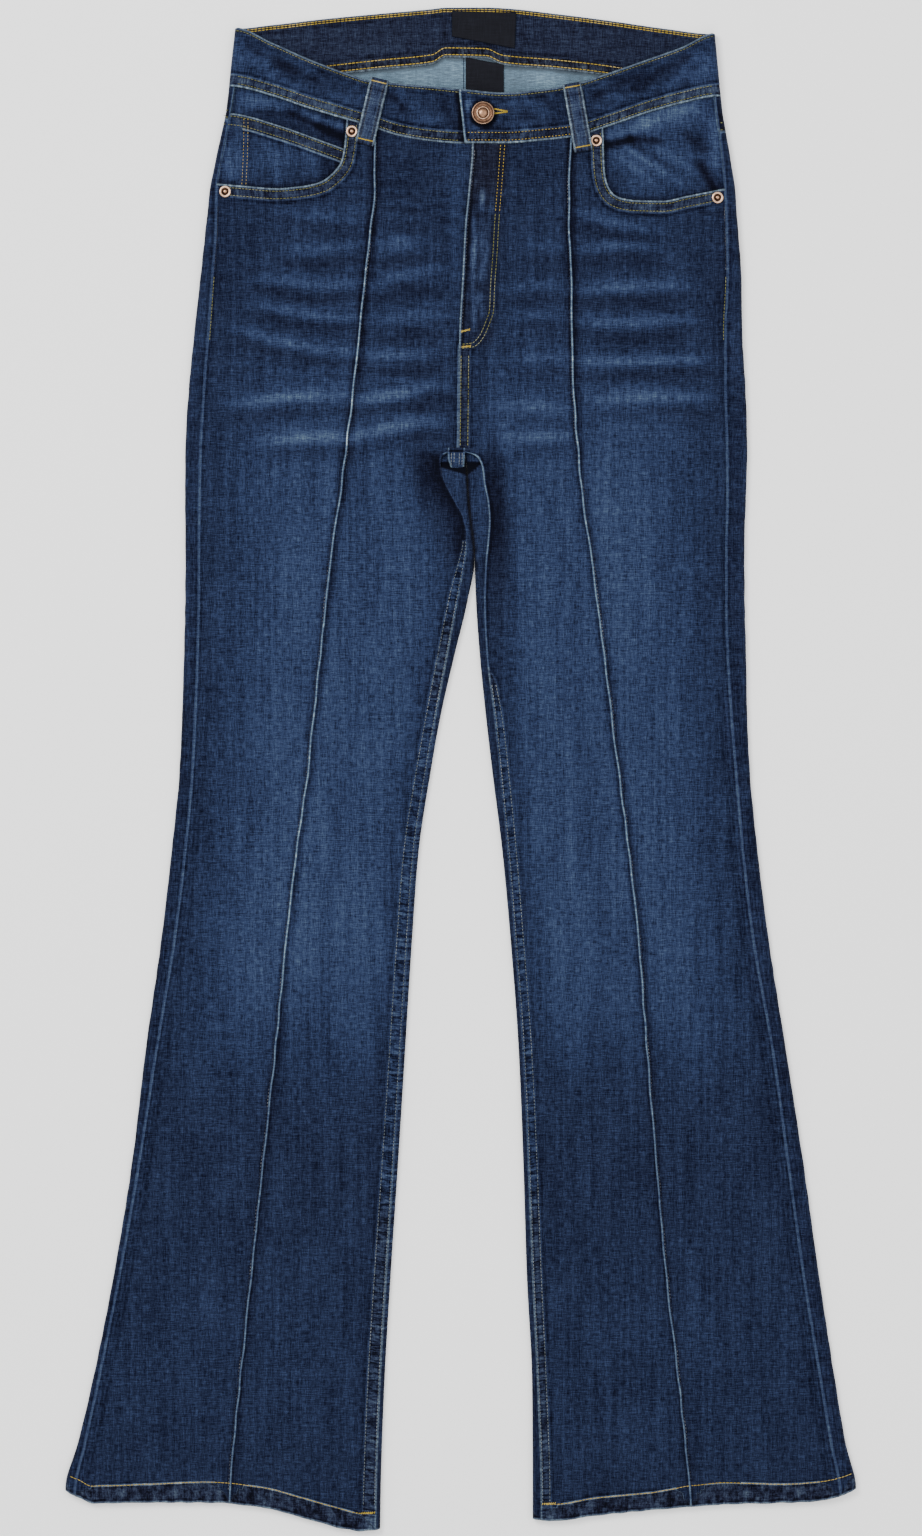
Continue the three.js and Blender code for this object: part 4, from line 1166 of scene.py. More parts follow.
def front_columns(side):
    """x of a front panel's columns as a function of y, and y of each column's top."""
    s = sign(side)
    mouth = MOUTH_LINES[side]
    tuck = np.array([-3.5, -2.2, -1.5, -0.8, 0, 0.8, 1.5, 2.2, 3.5])
    inner = np.linspace(0, 1, 30)[1:]
    dense = np.array([9.8, 7.5, 5.4, 3.6, 2.2, 1.2, 0.5, 0])
    by_tuck, by_edge = s * tuck[-1], s * 12.5
    count, beside = 40, 6
    spread = np.concatenate([[0, 0.006, 0.014, 0.03], np.linspace(0.055, 1, count - 4)])
    points = mouth.at((1 - spread) * mouth.s[-1])
    side_x, tuck_x = (leg(side, points[:, 1], name) for name in ("side", "tuck"))
    top_share = (points[:, 0] - side_x) / (tuck_x - by_tuck - side_x)
    top_share[0] = 0
    top_share = np.maximum.accumulate(np.clip(top_share, 0, 1))
    past_mouth = mix(top_share[-1], 1, np.arange(1, beside + 1) / (beside + 1))
    top_share = np.concatenate([top_share, past_mouth])
    even = np.linspace(0.045, 0.975, count + beside - 4)
    low_share = np.concatenate([[0, 0.005, 0.012, 0.024], even])
    ends = np.cumsum([len(low_share), len(tuck), len(inner), len(dense)]).tolist()
    outside, ridge, middle, border = map(slice, [0, *ends], ends)

    def column_x(y):
        """y has one column for each column of the panel."""
        edge, side_line, tuck_line = (leg(side, y, n) for n in ("edge", "side", "tuck"))
        x = np.empty_like(y)
        high = smooth((y[:, outside] - SPREAD_ZONE) / (TOP_ZONE - SPREAD_ZONE))
        share = mix(low_share, top_share, high)
        x[:, outside] = mix(side_line[:, outside], tuck_line[:, outside] - by_tuck, share)
        x[:, ridge] = tuck_line[:, ridge] + s * tuck
        x[:, middle] = mix(tuck_line[:, middle] + by_tuck, edge[:, middle] - by_edge, inner)
        x[:, border] = edge[:, border] - s * dense
        return x

    tops = np.full(ends[-1], np.nan)
    tops[:count] = points[:, 1]
    return column_x, tops


def front_leg(side):
    """A front panel, from the waistband to the hem."""
    column_x, tops = front_columns(side)
    level = level_rows()
    rows = len(TOP_SHARES) + len(level) + HEM_ROWS

    def row_y(x):
        top = np.where(np.isnan(tops), under_band(x[: len(TOP_SHARES)]), tops)
        high = mix(top, TOP_ZONE, TOP_SHARES[:, None])
        middle = np.broadcast_to(level[:, None], (len(level), len(tops)))
        return np.concatenate([high, middle, hem_rows(side, x[-1])])

    x, y = settle(column_x, row_y, rows, len(tops))
    at = Front(side, x, y)
    z = at.height()
    inner_z = np.minimum(z, deck(side, x, y)) - thickness(side, x, y)
    marks = [in_cloth(x, y), at.wear(), *at.seams(), at.raw()]
    mesh = Mesh().wall(grid(x, y, z), grid(x, y, inner_z), marks)
    if side == "left":
        crotch_point(mesh)
    return mesh


CURL = {"start": 228, "long": 13.6}  # y where the rise seam's end starts, and its length


def curl_top(share):
    """Height of the rise seam's end along itself, as it curls down into the fork."""
    return 7.1 + 0.9 * np.sin(PI * np.minimum(share * 1.1, 1)) - 4.2 * share**5


def crotch_point(mesh):
    """The end of the rise seam, where four panels meet, curling down into the fork."""
    share = np.linspace(0, 1, 15)[:, None]
    across = np.concatenate([[0, 0.04], np.linspace(0.12, 0.88, 9), [0.96, 1]])[None]
    y = CURL["start"] - CURL["long"] * share + 0.8 * np.sin(PI * across) * -share
    left, right = -8.9 + 1.9 * smooth((share - 0.5) / 0.5), 2.9 - 0.8 * share
    x = mix(left, right, across)
    rim = 0.9 * bell(across - 0.08, 0.07) + 0.9 * bell(across - 0.9, 0.07)
    dip = bell(share - 0.14, 0.05)
    top = curl_top(share) + 0.3 * rim + 0.25 * ripple(x, 3.2, 0.4) - 1.2 * dip
    # painted shade in the dip near the top, where the seam's end bends down
    wear = 0.05 + 0.1 * np.sin(PI * share) * np.sin(PI * across) - 0.3 * dip
    wear = wear + 0.12 * smooth((share - 0.75) / 0.2) - 0.1 * bell(np.abs(across - 0.5), 0.12)
    edge = np.minimum(x - left, right - x)
    seams = nearest(x.shape, (edge, y, 0, 0.9, 0))
    mesh.wall(grid(x, y, top), grid(x, y, top - DENIM), [in_cloth(x, y), wear, *seams])


# ---------------------------------------------------------------- back panels and yokes


def fork(y):
    """0 where the back panels are still flat at the crotch, 1 where they have rolled up."""
    return smooth((FORK["top"] - y) / (FORK["top"] - FORK["full"]))


def back_top(side, x, y):
    """The back panel's height where it shows beside the front, on top."""
    away = np.minimum(np.abs(x - leg(side, y, "side")), np.abs(x - leg(side, y, "edge")))
    outside = np.abs(x - leg(side, y, "side")) < 20
    z = deck(side, x, y) - 0.5 * bell(away, 0.9)
    z = z + np.where(outside, 0.35 * ripple(-y, 10.5, 1.5) * bell(away - 3, 4), 0)
    z = z - np.where((y > 150) & ~outside, 3.2 * (1 - fork(y)) + 0.8 * hollow_shade(x, y), 0)
    over, hem = hem_near(side, x, y)
    return z + band_relief(over, -sign(side) * x, hem, 7.6, 0.45, 0.3)


SEAT_CREASES = table(
    "x1 y1 x2 y2 width height",
    (-150, 300, -60, 268, 6, 0.7), (-140, 262, -40, 232, 5, 0.8), (-160, 20, -70, 0, 6, 0.7),
    (-150, -14, -90, -30, 5, 0.6), (150, 292, 55, 262, 6, 0.7), (165, 250, 50, 228, 5, 0.8),
    (165, 8, 90, -14, 6, 0.7), (150, -38, 100, -52, 5, 0.6),
)


def underside(x, y):
    """Shallow creases of the cloth that lies on the surface: they only lift off it."""
    total = 0
    for r, ex, ey, share in strokes(SEAT_CREASES, x, y):
        ends = tapered(ex, share, reach=8, least=0.4)
        total = total + r["height"] * ends * bell(ey, r["width"])
    return total


OUT_TURNS = np.linspace(0, PI, 11)
SIDE_SHARES = np.array([0, 0.06, 0.16, 0.34, 0.55, 0.78])
EDGE_SHARES = np.array([0.15, 0.4, 0.62, 0.8, 0.92, 1])


def tube(side, columns, y, thick):
    """Outer and inner x and z of a back piece's section, for columns (kind, share)."""
    s = sign(side)
    outer, fold, edge, side_line = (leg(side, y, n) for n in ("outer", "fold", "edge", "side"))
    reach = INSEAM_ROLL * np.maximum(fork(y), 0.15)
    out_middle, in_middle = outer + s * OUTSEAM_ROLL, fold - s * reach
    spans = {
        "side": (side_line - s * SEAM_GAP, out_middle),
        "flat": (out_middle, np.where(y > FORK["top"], fold - s * SEAM_GAP, in_middle)),
        "edge": (in_middle, edge + s * SEAM_GAP),
    }
    x, z, inner_x, inner_z = (np.empty_like(y) for _ in range(4))
    for c, (kind, t) in enumerate(columns):
        here, layer = y[:, c], thick[:, c]
        if kind in spans:
            start, end = (line[:, c] for line in spans[kind])
            x[:, c] = inner_x[:, c] = mix(start, end, t)
            on_floor = kind == "flat"
            z[:, c] = underside(x[:, c], here) if on_floor else back_top(side, x[:, c], here)
            inner_z[:, c] = z[:, c] + (layer if on_floor else -layer)
        elif kind == "out":
            middle = out_middle[:, c]
            half = back_top(side, middle, here) / 2
            lumps = 1 + 0.05 * ripple(-here, 23, 0.9)
            x[:, c] = middle - s * OUTSEAM_ROLL * lumps * np.sin(t)
            z[:, c] = half + half * np.cos(t)
            inner_x[:, c] = middle - s * (OUTSEAM_ROLL - layer) * np.sin(t)
            inner_z[:, c] = half + (half - layer) * np.cos(t)
        else:
            middle, r = in_middle[:, c], reach[:, c]
            half = back_top(side, middle, here) / 2
            x[:, c] = middle + s * r * np.sin(t)
            z[:, c] = half - half * np.cos(t)
            inner_x[:, c] = middle + s * np.maximum(r - layer, 0.1) * np.sin(t)
            inner_z[:, c] = half - np.maximum(half - layer, 0.1) * np.cos(t)
    return x, z, inner_x, inner_z


def back_marks(side, columns, x, y):
    """Fading, painted shade and nearest seam of a back panel's outer surface."""
    kinds = np.array([kind for kind, _ in columns])
    on_top = np.isin(kinds, ["side", "out"])
    inside = np.isin(kinds, ["in", "edge"])
    flat = kinds == "flat"
    from_side = np.abs(x - leg(side, y, "side"))
    from_edge = np.abs(x - leg(side, y, "edge"))
    from_fold = sign(side) * (leg(side, y, "fold") - x)
    over, hem = hem_near(side, x, y)
    wear = np.where(on_top, 0.035 * ripple(-y, 17, 0.6) * bell(from_side - 4, 4), -0.01)
    # painted shade in the groove where the two legs' rolled inseams meet, and in the hollow under the
    # crotch point
    wear = wear - np.where(inside & (y > 140), 0.14 * bell(from_fold, 1.5), 0)
    wear = wear + np.where(inside & (y > 150), 0.04 - 0.36 * hollow_shade(x, y), 0)
    # painted shade under the crotch point
    shade_under_fork = bell(np.hypot((x - 2) / 17, (y - 216) / 10), 1)
    seat_wear_and_shade = patches(SEAT_WEAR, x, y) + 0.05 * underside(x, y) - 0.2 * shade_under_fork
    roped = (side == "right") * smooth((50 - y) / 40) * smooth((y + 440) / 60)
    wear = wear + np.where(flat, seat_wear_and_shade, 0) + 0.04 * inside * roped
    on_band = (y > 225) & flat & (from_fold < 20)
    along_hem = -0.55 * sign(side) * x - 0.3 * over
    seams = nearest(
        x.shape,
        (np.where(on_top, from_side, FAR), -y, 6 * (y < 60), 0.5, 0.15, 0),
        (np.where(inside, from_edge, FAR), -INSEAM_GRAIN * y, 4 * roped, 0.15, 2.1 * roped, 0),
        (np.where(on_band, from_fold, FAR), -y, 7, 0.7, 0.8),
        (yoke_seam(side, x) - y, 1.5 * x, 0, 0.8, 0),
        (over, along_hem, hem, 0.9, 1.8, 1.3),
    )
    return wear, seams


def hollow_shade(x, y):
    """The dark hollow under the crotch point: 1 within it."""
    beside = x - HOLLOW["x"]
    low = HOLLOW["low"] + np.where(beside < 0, -0.3 * beside, 0.8 * beside)
    return smooth((y - low) / 1.8) * smooth((HOLLOW["high"] - y) / 1.8)


HOLLOW = {"x": 4.5, "low": 208.4, "high": 219}
SEAT_WEAR = table(
    "x y wide tall lean wear",
    (-95, 330, 55, 75, 0.1, 0.112), (100, 330, 55, 75, -0.1, 0.112),
    (-120, 60, 55, 140, 0.12, 0.084), (125, 60, 55, 140, -0.12, 0.084),
    (-110, -20, 50, 30, 0, 0.056), (115, -20, 50, 30, 0, 0.056), (-170, -500, 90, 30, 0, -0.028),
    (165, -500, 90, 30, 0, -0.028),
)


def yoke_seam(side, x):
    """y of a yoke's lower seam."""
    at_side, centre = YOKE_SEAM[side]
    start, end = float(leg(side, at_side, "side")), float(leg(side, centre, "fold"))
    return mix(at_side, centre, np.clip((x - start) / (end - start), 0, 1))


def columns_of(**shares):
    """The columns of a back piece's section: (kind, share) in the order given."""
    return [(kind, t) for kind, places in shares.items() for t in places]


def back_leg(side):
    """A back panel, on the surface and rolled up at both seams, from the yoke to the hem."""
    flats = [*np.linspace(0.02, 0.96, 40), 0.975, 0.99, 1.0]
    turns = OUT_TURNS[1:]
    columns = columns_of(
        side=SIDE_SHARES, out=OUT_TURNS, flat=flats, **{"in": turns, "edge": EDGE_SHARES}
    )
    last_flat = len(SIDE_SHARES) + len(OUT_TURNS) + len(flats) - 1
    level = np.unique([FORK["top"], *level_rows()])[::-1]
    level = level[level <= TOP_ZONE]
    top_shares = np.linspace(0, 1, 24)

    def row_y(x):
        top = yoke_seam(side, x[: len(top_shares)]) - SEAM_GAP
        high = mix(top, TOP_ZONE + MESH_STEP, top_shares[:, None])
        middle = np.broadcast_to(level[:, None], (len(level), len(columns)))
        return np.concatenate([high, middle, hem_rows(side, x[-1])])

    def column_x(y):
        return tube(side, columns, y, np.full_like(y, DENIM))[0]

    rows = len(top_shares) + len(level) + HEM_ROWS
    x, y = settle(column_x, row_y, rows, len(columns))
    x, z, inner_x, inner_z = tube(side, columns, y, thickness(side, x, y))
    wear, seams = back_marks(side, columns, x, y)
    wear = wear + 0.05 * bell(y - yoke_seam(side, x), 3)
    keep = np.ones((rows - 1, len(columns) - 1), bool)
    in_fork = y[:, last_flat:-1] < FORK["top"] + 0.01
    keep[:, last_flat:] = in_fork[1:] & in_fork[:-1]
    marks = [in_cloth(x, y), wear, *seams]
    return Mesh().wall(grid(x, y, z), grid(inner_x, y, inner_z), marks, keep=keep)


def back_yoke(side):
    """A back yoke, from the waistband to the panel below, rolled up at the side seam."""
    flats = [*np.linspace(0.02, 0.97, 56), 0.985, 1.0]
    columns = columns_of(side=SIDE_SHARES, out=OUT_TURNS, flat=flats)
    on_top = len(SIDE_SHARES) + len(OUT_TURNS) - 1
    place = np.arange(len(columns))
    shares = np.array([0, 0.02, 0.06, *np.linspace(0.12, 0.88, 14), 0.94, 0.98, 1])

    def row_y(x):
        top = read(BACK_BAND, "x", x[0], "bottom")
        top[:on_top] = read(FRONT_BAND, "x", x[0, :on_top], "bottom")
        seam = yoke_seam(side, x[0]) + SEAM_GAP
        return mix(top - SEAM_GAP, seam, shares[:, None])

    def column_x(y):
        return tube(side, columns, y, np.full_like(y, DENIM))[0]

    x, y = settle(column_x, row_y, len(shares), len(columns))
    x, z, inner_x, inner_z = tube(side, columns, y, np.full_like(y, DENIM))
    from_side = np.where(place <= on_top, np.abs(x - leg(side, y, "side")), FAR)
    from_seam = y - yoke_seam(side, x)
    seams = nearest(
        x.shape, (from_side, -y, 0, 0.7, 0), (from_seam, 1.5 * x, 7, 0.8, 0.8)
    )
    wear = 0.06 * ripple(x + 0.4 * y, 27, 0.9) - 0.02
    inner_tone_and_shadow = 0.04 * ripple(x + 0.8 * y, 41, 2.0) + 0.03
    # painted shadow on the reverse just under the waistband's fold edge
    inner_tone_and_shadow = inner_tone_and_shadow - 0.3 * bell(y - read(BACK_BAND, "x", x, "bottom"), 2)
    lift = 0.25 * np.maximum(0, ripple(x + 0.5 * y, 33, 0.2)) * (place > on_top)
    marks = [in_cloth(x, y), wear, *seams]
    inner_marks = [in_cloth(x, y), inner_tone_and_shadow, *nearest(x.shape)]
    return Mesh().wall(grid(x, y, z), grid(inner_x, y, inner_z + lift), marks, inner_marks)


# ---------------------------------------------------------------- waistband


def band_top(side, x, share=0.0):
    """The waistband's upper face; share runs from its bottom to its top edge."""
    y = read(FRONT_BAND, "x", x, "bottom")
    lap = BAND_LAP * smooth((70 - x) / 40) if side == "left" else 0
    crown = 0.35 * np.sin(PI * np.clip(share, 0, 1)) ** 0.6
    return deck(side, x, y) + (BAND - DENIM) / 2 + 0.35 + lap + crown


BAND_CREASES = table(
    "x1 y1 x2 y2 width height",
    (-150, 512, -120, 496, 2.5, -0.7), (-128, 503, -98, 486, 2.2, -0.6),
    (-100, 496, -84, 482, 2, -0.4), (95, 478, 128, 494, 2.4, -0.7), (124, 484, 160, 505, 2.6, -0.8),
    (-40, 478, -20, 462, 3, 0.35), (40, 476, 64, 468, 3, 0.35), (4, 478, 11, 452, 3, 0.3),
    (16, 478.5, 21, 473, 1.4, 0.5), (35, 473.5, 41, 468, 1.4, 0.55), (45, 479, 49, 470.5, 1.4, 0.5),
    (37, 455.5, 46, 455.8, 1.3, 0.6), (-34, 461, -18, 458, 2, 0.4), (-52, 481, -40, 470, 1.6, -0.5),
    (-12, 474, -6, 460, 1.8, -0.5), (60, 478, 66, 462, 1.6, -0.5), (98, 490, 112, 474, 1.8, 0.4),
    (-140, 508, -132, 490, 2, 0.4),
)


def band_face(side, x, y):
    """The front waistband's outer surface, with its seams and creases."""
    top, bottom = (read(FRONT_BAND, "x", x, c) for c in ("top", "bottom"))
    share = (y - bottom) / (top - bottom)
    z = band_top(side, x, share)
    z = z + band_relief(y - bottom, x, 8.2, 7.2, 0.12, 0.16)
    z = z - 0.25 * bell(top - y - 2, 0.9) - 0.35 * bell(top - y, 0.7)
    return z + folds(BAND_CREASES, x, y)


def band_wear_and_shade(x, y, bottom, top):
    """The waistband's fading, paler at the sides, with painted highlight and shade on its creases and a
    painted shadow round the button.
    """
    over, from_middle = y - bottom, np.abs(x - 10)
    wear = 0.005 + 0.08 * ripple(x * 0.8 + y * 0.5, 23, 1.3) * ripple(y, 31, 0.2)
    wear = wear + 0.05 * ripple(x * 0.5 - y * 0.7, 9, 0.8) * ripple(x + y, 37, 2.2)
    wear = wear + 0.07 * smooth((from_middle - 120) / 50) * bell(over - 22, 10)
    # creases painted paler on their ridges and darker in their troughs: painted highlight and shade
    wear = wear + 0.13 * folds(BAND_CREASES, x, y, 1.4)
    sides = smooth((from_middle - 60) / 40)
    wear = wear + mix(0.015, 0.07, sides) * bell(over - 4, 5) + 0.02 * sides
    # a painted shadow in a ring round the button
    from_button = np.hypot(x - BUTTON["x"], y - BUTTON["y"] + 0.6)
    wear = wear - 0.3 * bell(from_button - BUTTON["radius"], 1.8)
    wear = wear + 0.24 * bell(np.hypot((x - 5.8) / 2.3, (y - 470.5) / 5), 1)
    return wear + 0.05 * bell(top - y, 3)


def back_lift(x, y):
    """How far the band's inner layer lifts off the outer one, across the back."""
    return 0.25 * np.maximum(0, ripple(x + 0.3 * y, 47, 0.5))


def band_stations():
    """The waistband's columns, from its under end round the back to its upper end."""
    step = 2 * MESH_STEP / 3 + 0.4
    right_end = float(leg("right", 506, "outer")) + BAND_ROLL
    left_end = float(leg("left", 500, "outer")) - BAND_ROLL
    right_count, left_count = (
        int(long / step) for long in (BAND_ENDS["under"] - right_end, left_end - 1)
    )
    turns = np.linspace(0, PI, 12)[1:-1]
    back = np.linspace(right_end, left_end, int((left_end - right_end) / 3))
    return [
        *[("right", t) for t in np.linspace(0, 1, right_count)],
        *[("right_fold", t) for t in turns],
        *[("back", x) for x in back],
        *[("left_fold", t) for t in turns[::-1]],
        *[("left", t) for t in np.linspace(0, 1, left_count)],
    ]


def waistband():
    """The whole waistband, one column at each station along it."""
    stations = band_stations()
    shares = np.array([0, 0.012, 0.03, 0.06, *np.linspace(0.1, 0.93, 18), 0.965, 0.985, 1])
    middle_row = len(shares) // 2
    lap_end = mix(BAND_ENDS["over_bottom"], BAND_ENDS["over_top"], shares)
    shape = (len(shares), len(stations))
    outer, inner, cloth = np.zeros((*shape, 3)), np.zeros((*shape, 3)), np.zeros((*shape, 2))
    low, high, wear, wear_in = (np.zeros(shape) for _ in range(4))
    place = 0.0
    for c, (kind, t) in enumerate(stations):
        side = "right" if kind.startswith("right") else "left"
        s = sign(side)
        if kind == "back":
            bottom, top = (float(read(BACK_BAND, "x", t, k)) for k in ("bottom", "top"))
            x, y = np.full(len(shares), t), mix(bottom, top, shares)
            outer[:, c] = np.column_stack([x, y, 0 * x])
            inner[:, c] = np.column_stack([x, y, BAND + back_lift(x, y)])
        elif kind.endswith("fold"):
            edge = float(leg(side, 503, "outer"))
            bottom, top = (float(read(FRONT_BAND, "x", edge, k)) for k in ("bottom", "top"))
            y = mix(bottom, top, shares)
            middle = leg(side, y, "outer") + s * BAND_ROLL
            half = band_face(side, middle, y) / 2
            for face, inset in ((outer, 0), (inner, BAND)):
                x = middle - s * (BAND_ROLL - inset) * np.sin(t)
                face[:, c] = np.column_stack([x, y, half + (half - inset) * np.cos(t)])
            x = np.full(len(shares), middle.mean())
        else:
            fold = leg(side, mix(*BAND_SIDES[side], shares), "outer") + s * BAND_ROLL
            x = mix(BAND_ENDS["under"], fold, t) if side == "right" else mix(fold, lap_end, t)
            bottom, top = (read(FRONT_BAND, "x", x, k) for k in ("bottom", "top"))
            y = mix(bottom, top, shares)
            z = band_face(side, x, y) - 0.35 * bell(x - lap_end, 0.8) * (side == "left")
            outer[:, c] = np.column_stack([x, y, z])
            inner[:, c] = np.column_stack([x, y, band_top(side, x) - BAND])
        if c:
            place += float(np.linalg.norm(outer[middle_row, c] - outer[middle_row, c - 1]))
        cloth[:, c] = np.column_stack([y, np.full(len(shares), place)])
        low[:, c], high[:, c] = bottom, top
        wear[:, c] = band_wear_and_shade(x, y, bottom, top)
        # painted shadow on the under end, beside the over end that laps onto it
        if kind == "right":
            wear[:, c] -= 0.25 * bell(lap_end - 1 - x, 2)
        slubs = ripple(np.full(len(shares), place), 5.3, 0.3)
        wear_in[:, c] = 0.12 * np.maximum(slubs, -0.4) * ripple(y, 60, 1)
    y, along = outer[..., 1], cloth[..., 1]
    on_lap = np.array([kind == "left" for kind, _ in stations])
    from_end = np.where(on_lap, outer[..., 0] - lap_end[:, None], FAR)
    seams = nearest(
        shape,
        (y - low, 1.3 * along, 8, 1.1, 1.4, 0.35),
        (high - y, along, 2.8, 0.75, 0, 0),
        (from_end, y, 0, 1.3, 0),
    )
    inner_seams = nearest(
        shape, (y - low, 1.3 * along, 7.6, 0.9, 1.5, 0), (high - y, along, 3.2, 0.5, 0, 0)
    )
    marks = [cloth, wear, *seams, 0 * wear]
    inner_marks = [cloth, wear_in, *inner_seams, 0.5 + 0 * wear]
    return Mesh().wall(outer, inner, marks, inner_marks, inner_slot=0)


# ---------------------------------------------------------------- pockets, loops, labels

FACING_CREASES = {
    "right": table(
        "x1 y1 x2 y2 width height",
        (-153, 476, -124, 471, 6, 0.5), (-146, 467.6, -121, 466.4, 2, -0.4),
        (-121, 466.4, -100, 457, 1.7, -0.55), (-100, 457, -83, 449, 2.6, -0.75),
        (-111, 466, -83, 456.5, 2.4, 0.8), (-135, 445, -131, 420, 3, 0.3),
        (-108, 440, -104, 424, 3, 0.35), (-166, 440, -164, 422, 3, 0.4),
    ),
    "left": table(
        "x1 y1 x2 y2 width height",
        (101, 443, 121, 448, 2.4, -1.2), (121, 448, 141, 446.5, 2.4, -0.7),
        (107, 450, 132, 459, 4, 0.6), (132, 459, 165, 471, 5, 0.6), (118, 441, 156, 417, 2, 0.5),
        (112, 436, 138, 416, 2, 0.35), (141, 441, 166, 425, 2.2, 0.35),
        (124, 443, 150, 428, 2, -0.4), (170.9, 429, 180, 413.4, 3, -0.9),
        (181.5, 462, 181.5, 432, 3.5, 0.6), (160, 452, 174, 440, 3, -0.4),
    ),
}
FACING_WEAR = {
    "right": table(
        "x y wide tall lean wear",
        (-140, 475, 20, 6, 0.3, 0.08), (-122, 436, 24, 10, 0.1, 0.05), (-160, 430, 9, 12, 0, 0.06),
        (-95, 430, 12, 8, 0.5, -0.05),
    ),
    "left": table(
        "x y wide tall lean wear",
        (150, 466, 30, 9, -0.2, 0.07), (132, 432, 26, 10, 0.6, 0.05), (112, 420, 8, 10, 0, -0.05),
        (165, 446, 12, 8, 0, -0.03),
    ),
}
# A crease is painted paler on its ridge and darker in its trough: painted highlight and shade
CREASE_LIGHT_AND_SHADE = 0.2  # how much paler a ridge of 1 mm is


def facing_top(side, x, y, layers):
    """A pocket facing's outer surface, or that of the pocket on it, under the front."""
    return deck(side, x, y) - layers * LAYER + 0.6 * folds(FACING_CREASES[side], x, y)


def coin_face(x, y):
    """The coin pocket's outer surface, with the step of its hem."""
    away = coin_top(x) - y
    return facing_top("right", x, y, 1) + band_relief(away, x, COIN_BAND, 8, 0.35, 0.14)


def under_front(side, top_row, layers, extra_wear, band=0.0):
    """A pocket piece under a front; band is the width of the hem along its top."""
    last_x, last_y = FACING_ENDS[side]
    inset = sign(side) * GAP
    across = np.linspace(0, 1, 46)
    down = np.concatenate([[0, 0.01, 0.03], np.linspace(0.06, 1, 34)])

    def column_x(y):
        return mix(leg(side, y, "side") + inset, last_x, across)

    def row_y(x):
        return mix(top_row(x[0]), last_y, down[:, None])

    x, y = settle(column_x, row_y, len(down), len(across))
    z = facing_top(side, x, y, layers)
    from_top = top_row(x) - y
    from_side = np.abs(x - leg(side, y, "side"))
    top_wear_and_shade, far = (1.05, 0.85) if band else (0.1, 0)
    seam = [(from_side, -y, 0, 0.7, 0), (from_top, 1.3 * x, band, top_wear_and_shade, 0.7, far)]
    if band:
        z = z + band_relief(from_top, x, band, 8, 0.35, 0.14)
    wear = patches(FACING_WEAR[side], x, y) + extra_wear
    # creases painted paler on their ridges and darker in their troughs: painted highlight and shade
    wear = wear + CREASE_LIGHT_AND_SHADE * folds(FACING_CREASES[side], x, y, 1.2)
    wear = wear + 0.03 * ripple(x, 5.2, 0.3) * ripple(y, 27, 1.2)
    # painted shadow along the pocket mouth, under the front's edge
    mouth, _ = MOUTH_LINES[side].near(x, y)
    wear = wear - 0.12 * bell(mouth, 3.5)
    marks = [in_cloth(x, y), wear, *nearest(x.shape, *seam)]
    return Mesh().wall(grid(x, y, z), grid(x, y, z - DENIM), marks)


COIN_BAND = 9.8
COIN_LINE = Line(COIN_POCKET_TOP)


def coin_top(x):
    """y of the coin pocket's upper edge."""
    xs, ys = COIN_LINE.p.T
    return np.interp(x, xs, ys)


def loop_point(side, share, offset):
    """A point of a belt loop's outer face: share runs down it, offset across."""
    top, bottom = (np.array(LOOPS[side][end]) for end in ("top", "bottom"))
    along = bottom - top
    across = np.array([-along[1], along[0]]) / np.hypot(*along)
    share, offset = np.broadcast_arrays(np.asarray(share, float), offset)
    middle = top[0] + share * along[0]
    x, y = middle + offset * across[0], top[1] + share * along[1] + offset * across[1]
    rise = read(LOOP_PATH, "share", share, "rise") + GAP + LOOP
    bulge = 0.25 * np.cos(PI * offset / 13) + 0.12 * ripple(share * LOOP_LONG, 9, 0.5)
    return x, y, band_top(side, middle) + 0.35 + rise + bulge


def belt_loop(side):
    """A belt loop, paler down its middle than at its sewn ends."""
    half = LOOPS[side]["half"]
    share = np.array([0, 0.008, 0.02, *np.linspace(0.04, 0.96, 34), 0.98, 0.992, 1])[:, None]
    down = share * LOOP_LONG
    to_edge = np.array([0.25, 0.5, 0.7, 0.86, 0.95, 1])
    offset = half * np.concatenate([-to_edge[::-1], [0], to_edge])
    offset = offset * (1 + 0.03 * ripple(down, 6.5, 0.8))
    x, y, z = loop_point(side, share, offset)
    z = z - 0.35 * bell(np.abs(offset) - 0.7 * half, 0.8)
    wear = 0.17 + 0.06 * ripple(down, 13, 1.1) + 0.05 * ripple(down, 4.5, 0.4) + 0 * offset
    wear = wear - 0.16 * bell(share, 0.03) - 0.12 * bell(1 - share, 0.03)
    along_edge = share * 60 + 7 * np.sign(offset)
    seam = nearest(x.shape, (half - np.abs(offset), along_edge, 2.8, 0.75, 0.5, 0))
    marks = [in_cloth(offset, down), wear, *seam, 0.3 + 0 * wear]
    return Mesh().wall(grid(x, y, z), grid(x, y, z - LOOP), marks)


def label_patch(corners, bottom, curl=0.5):
    """A woven label, slightly wavy, a little lower along its first edge."""
    a, b, c, d = (np.array(p, float) for p in corners)
    u = np.concatenate([[0, 0.02], np.linspace(0.06, 0.94, 22), [0.98, 1]])[None, :, None]
    v = np.concatenate([[0, 0.03], np.linspace(0.09, 0.91, 12), [0.97, 1]])[:, None, None]
    flat = mix(mix(a, b, u), mix(d, c, u), v)
    x, y = flat[..., 0], flat[..., 1]
    wave = curl * (0.5 + 0.5 * ripple(x + 0.4 * y, 24, 0.6))
    z = bottom + LABEL + wave - 0.12 * bell(y - y[:1], 1)
    marks = [in_cloth(x, y), 0 * x, *nearest(x.shape)]
    return Mesh().wall(grid(x, y, z), grid(x, y, z - LABEL), marks, inner_slot=0)


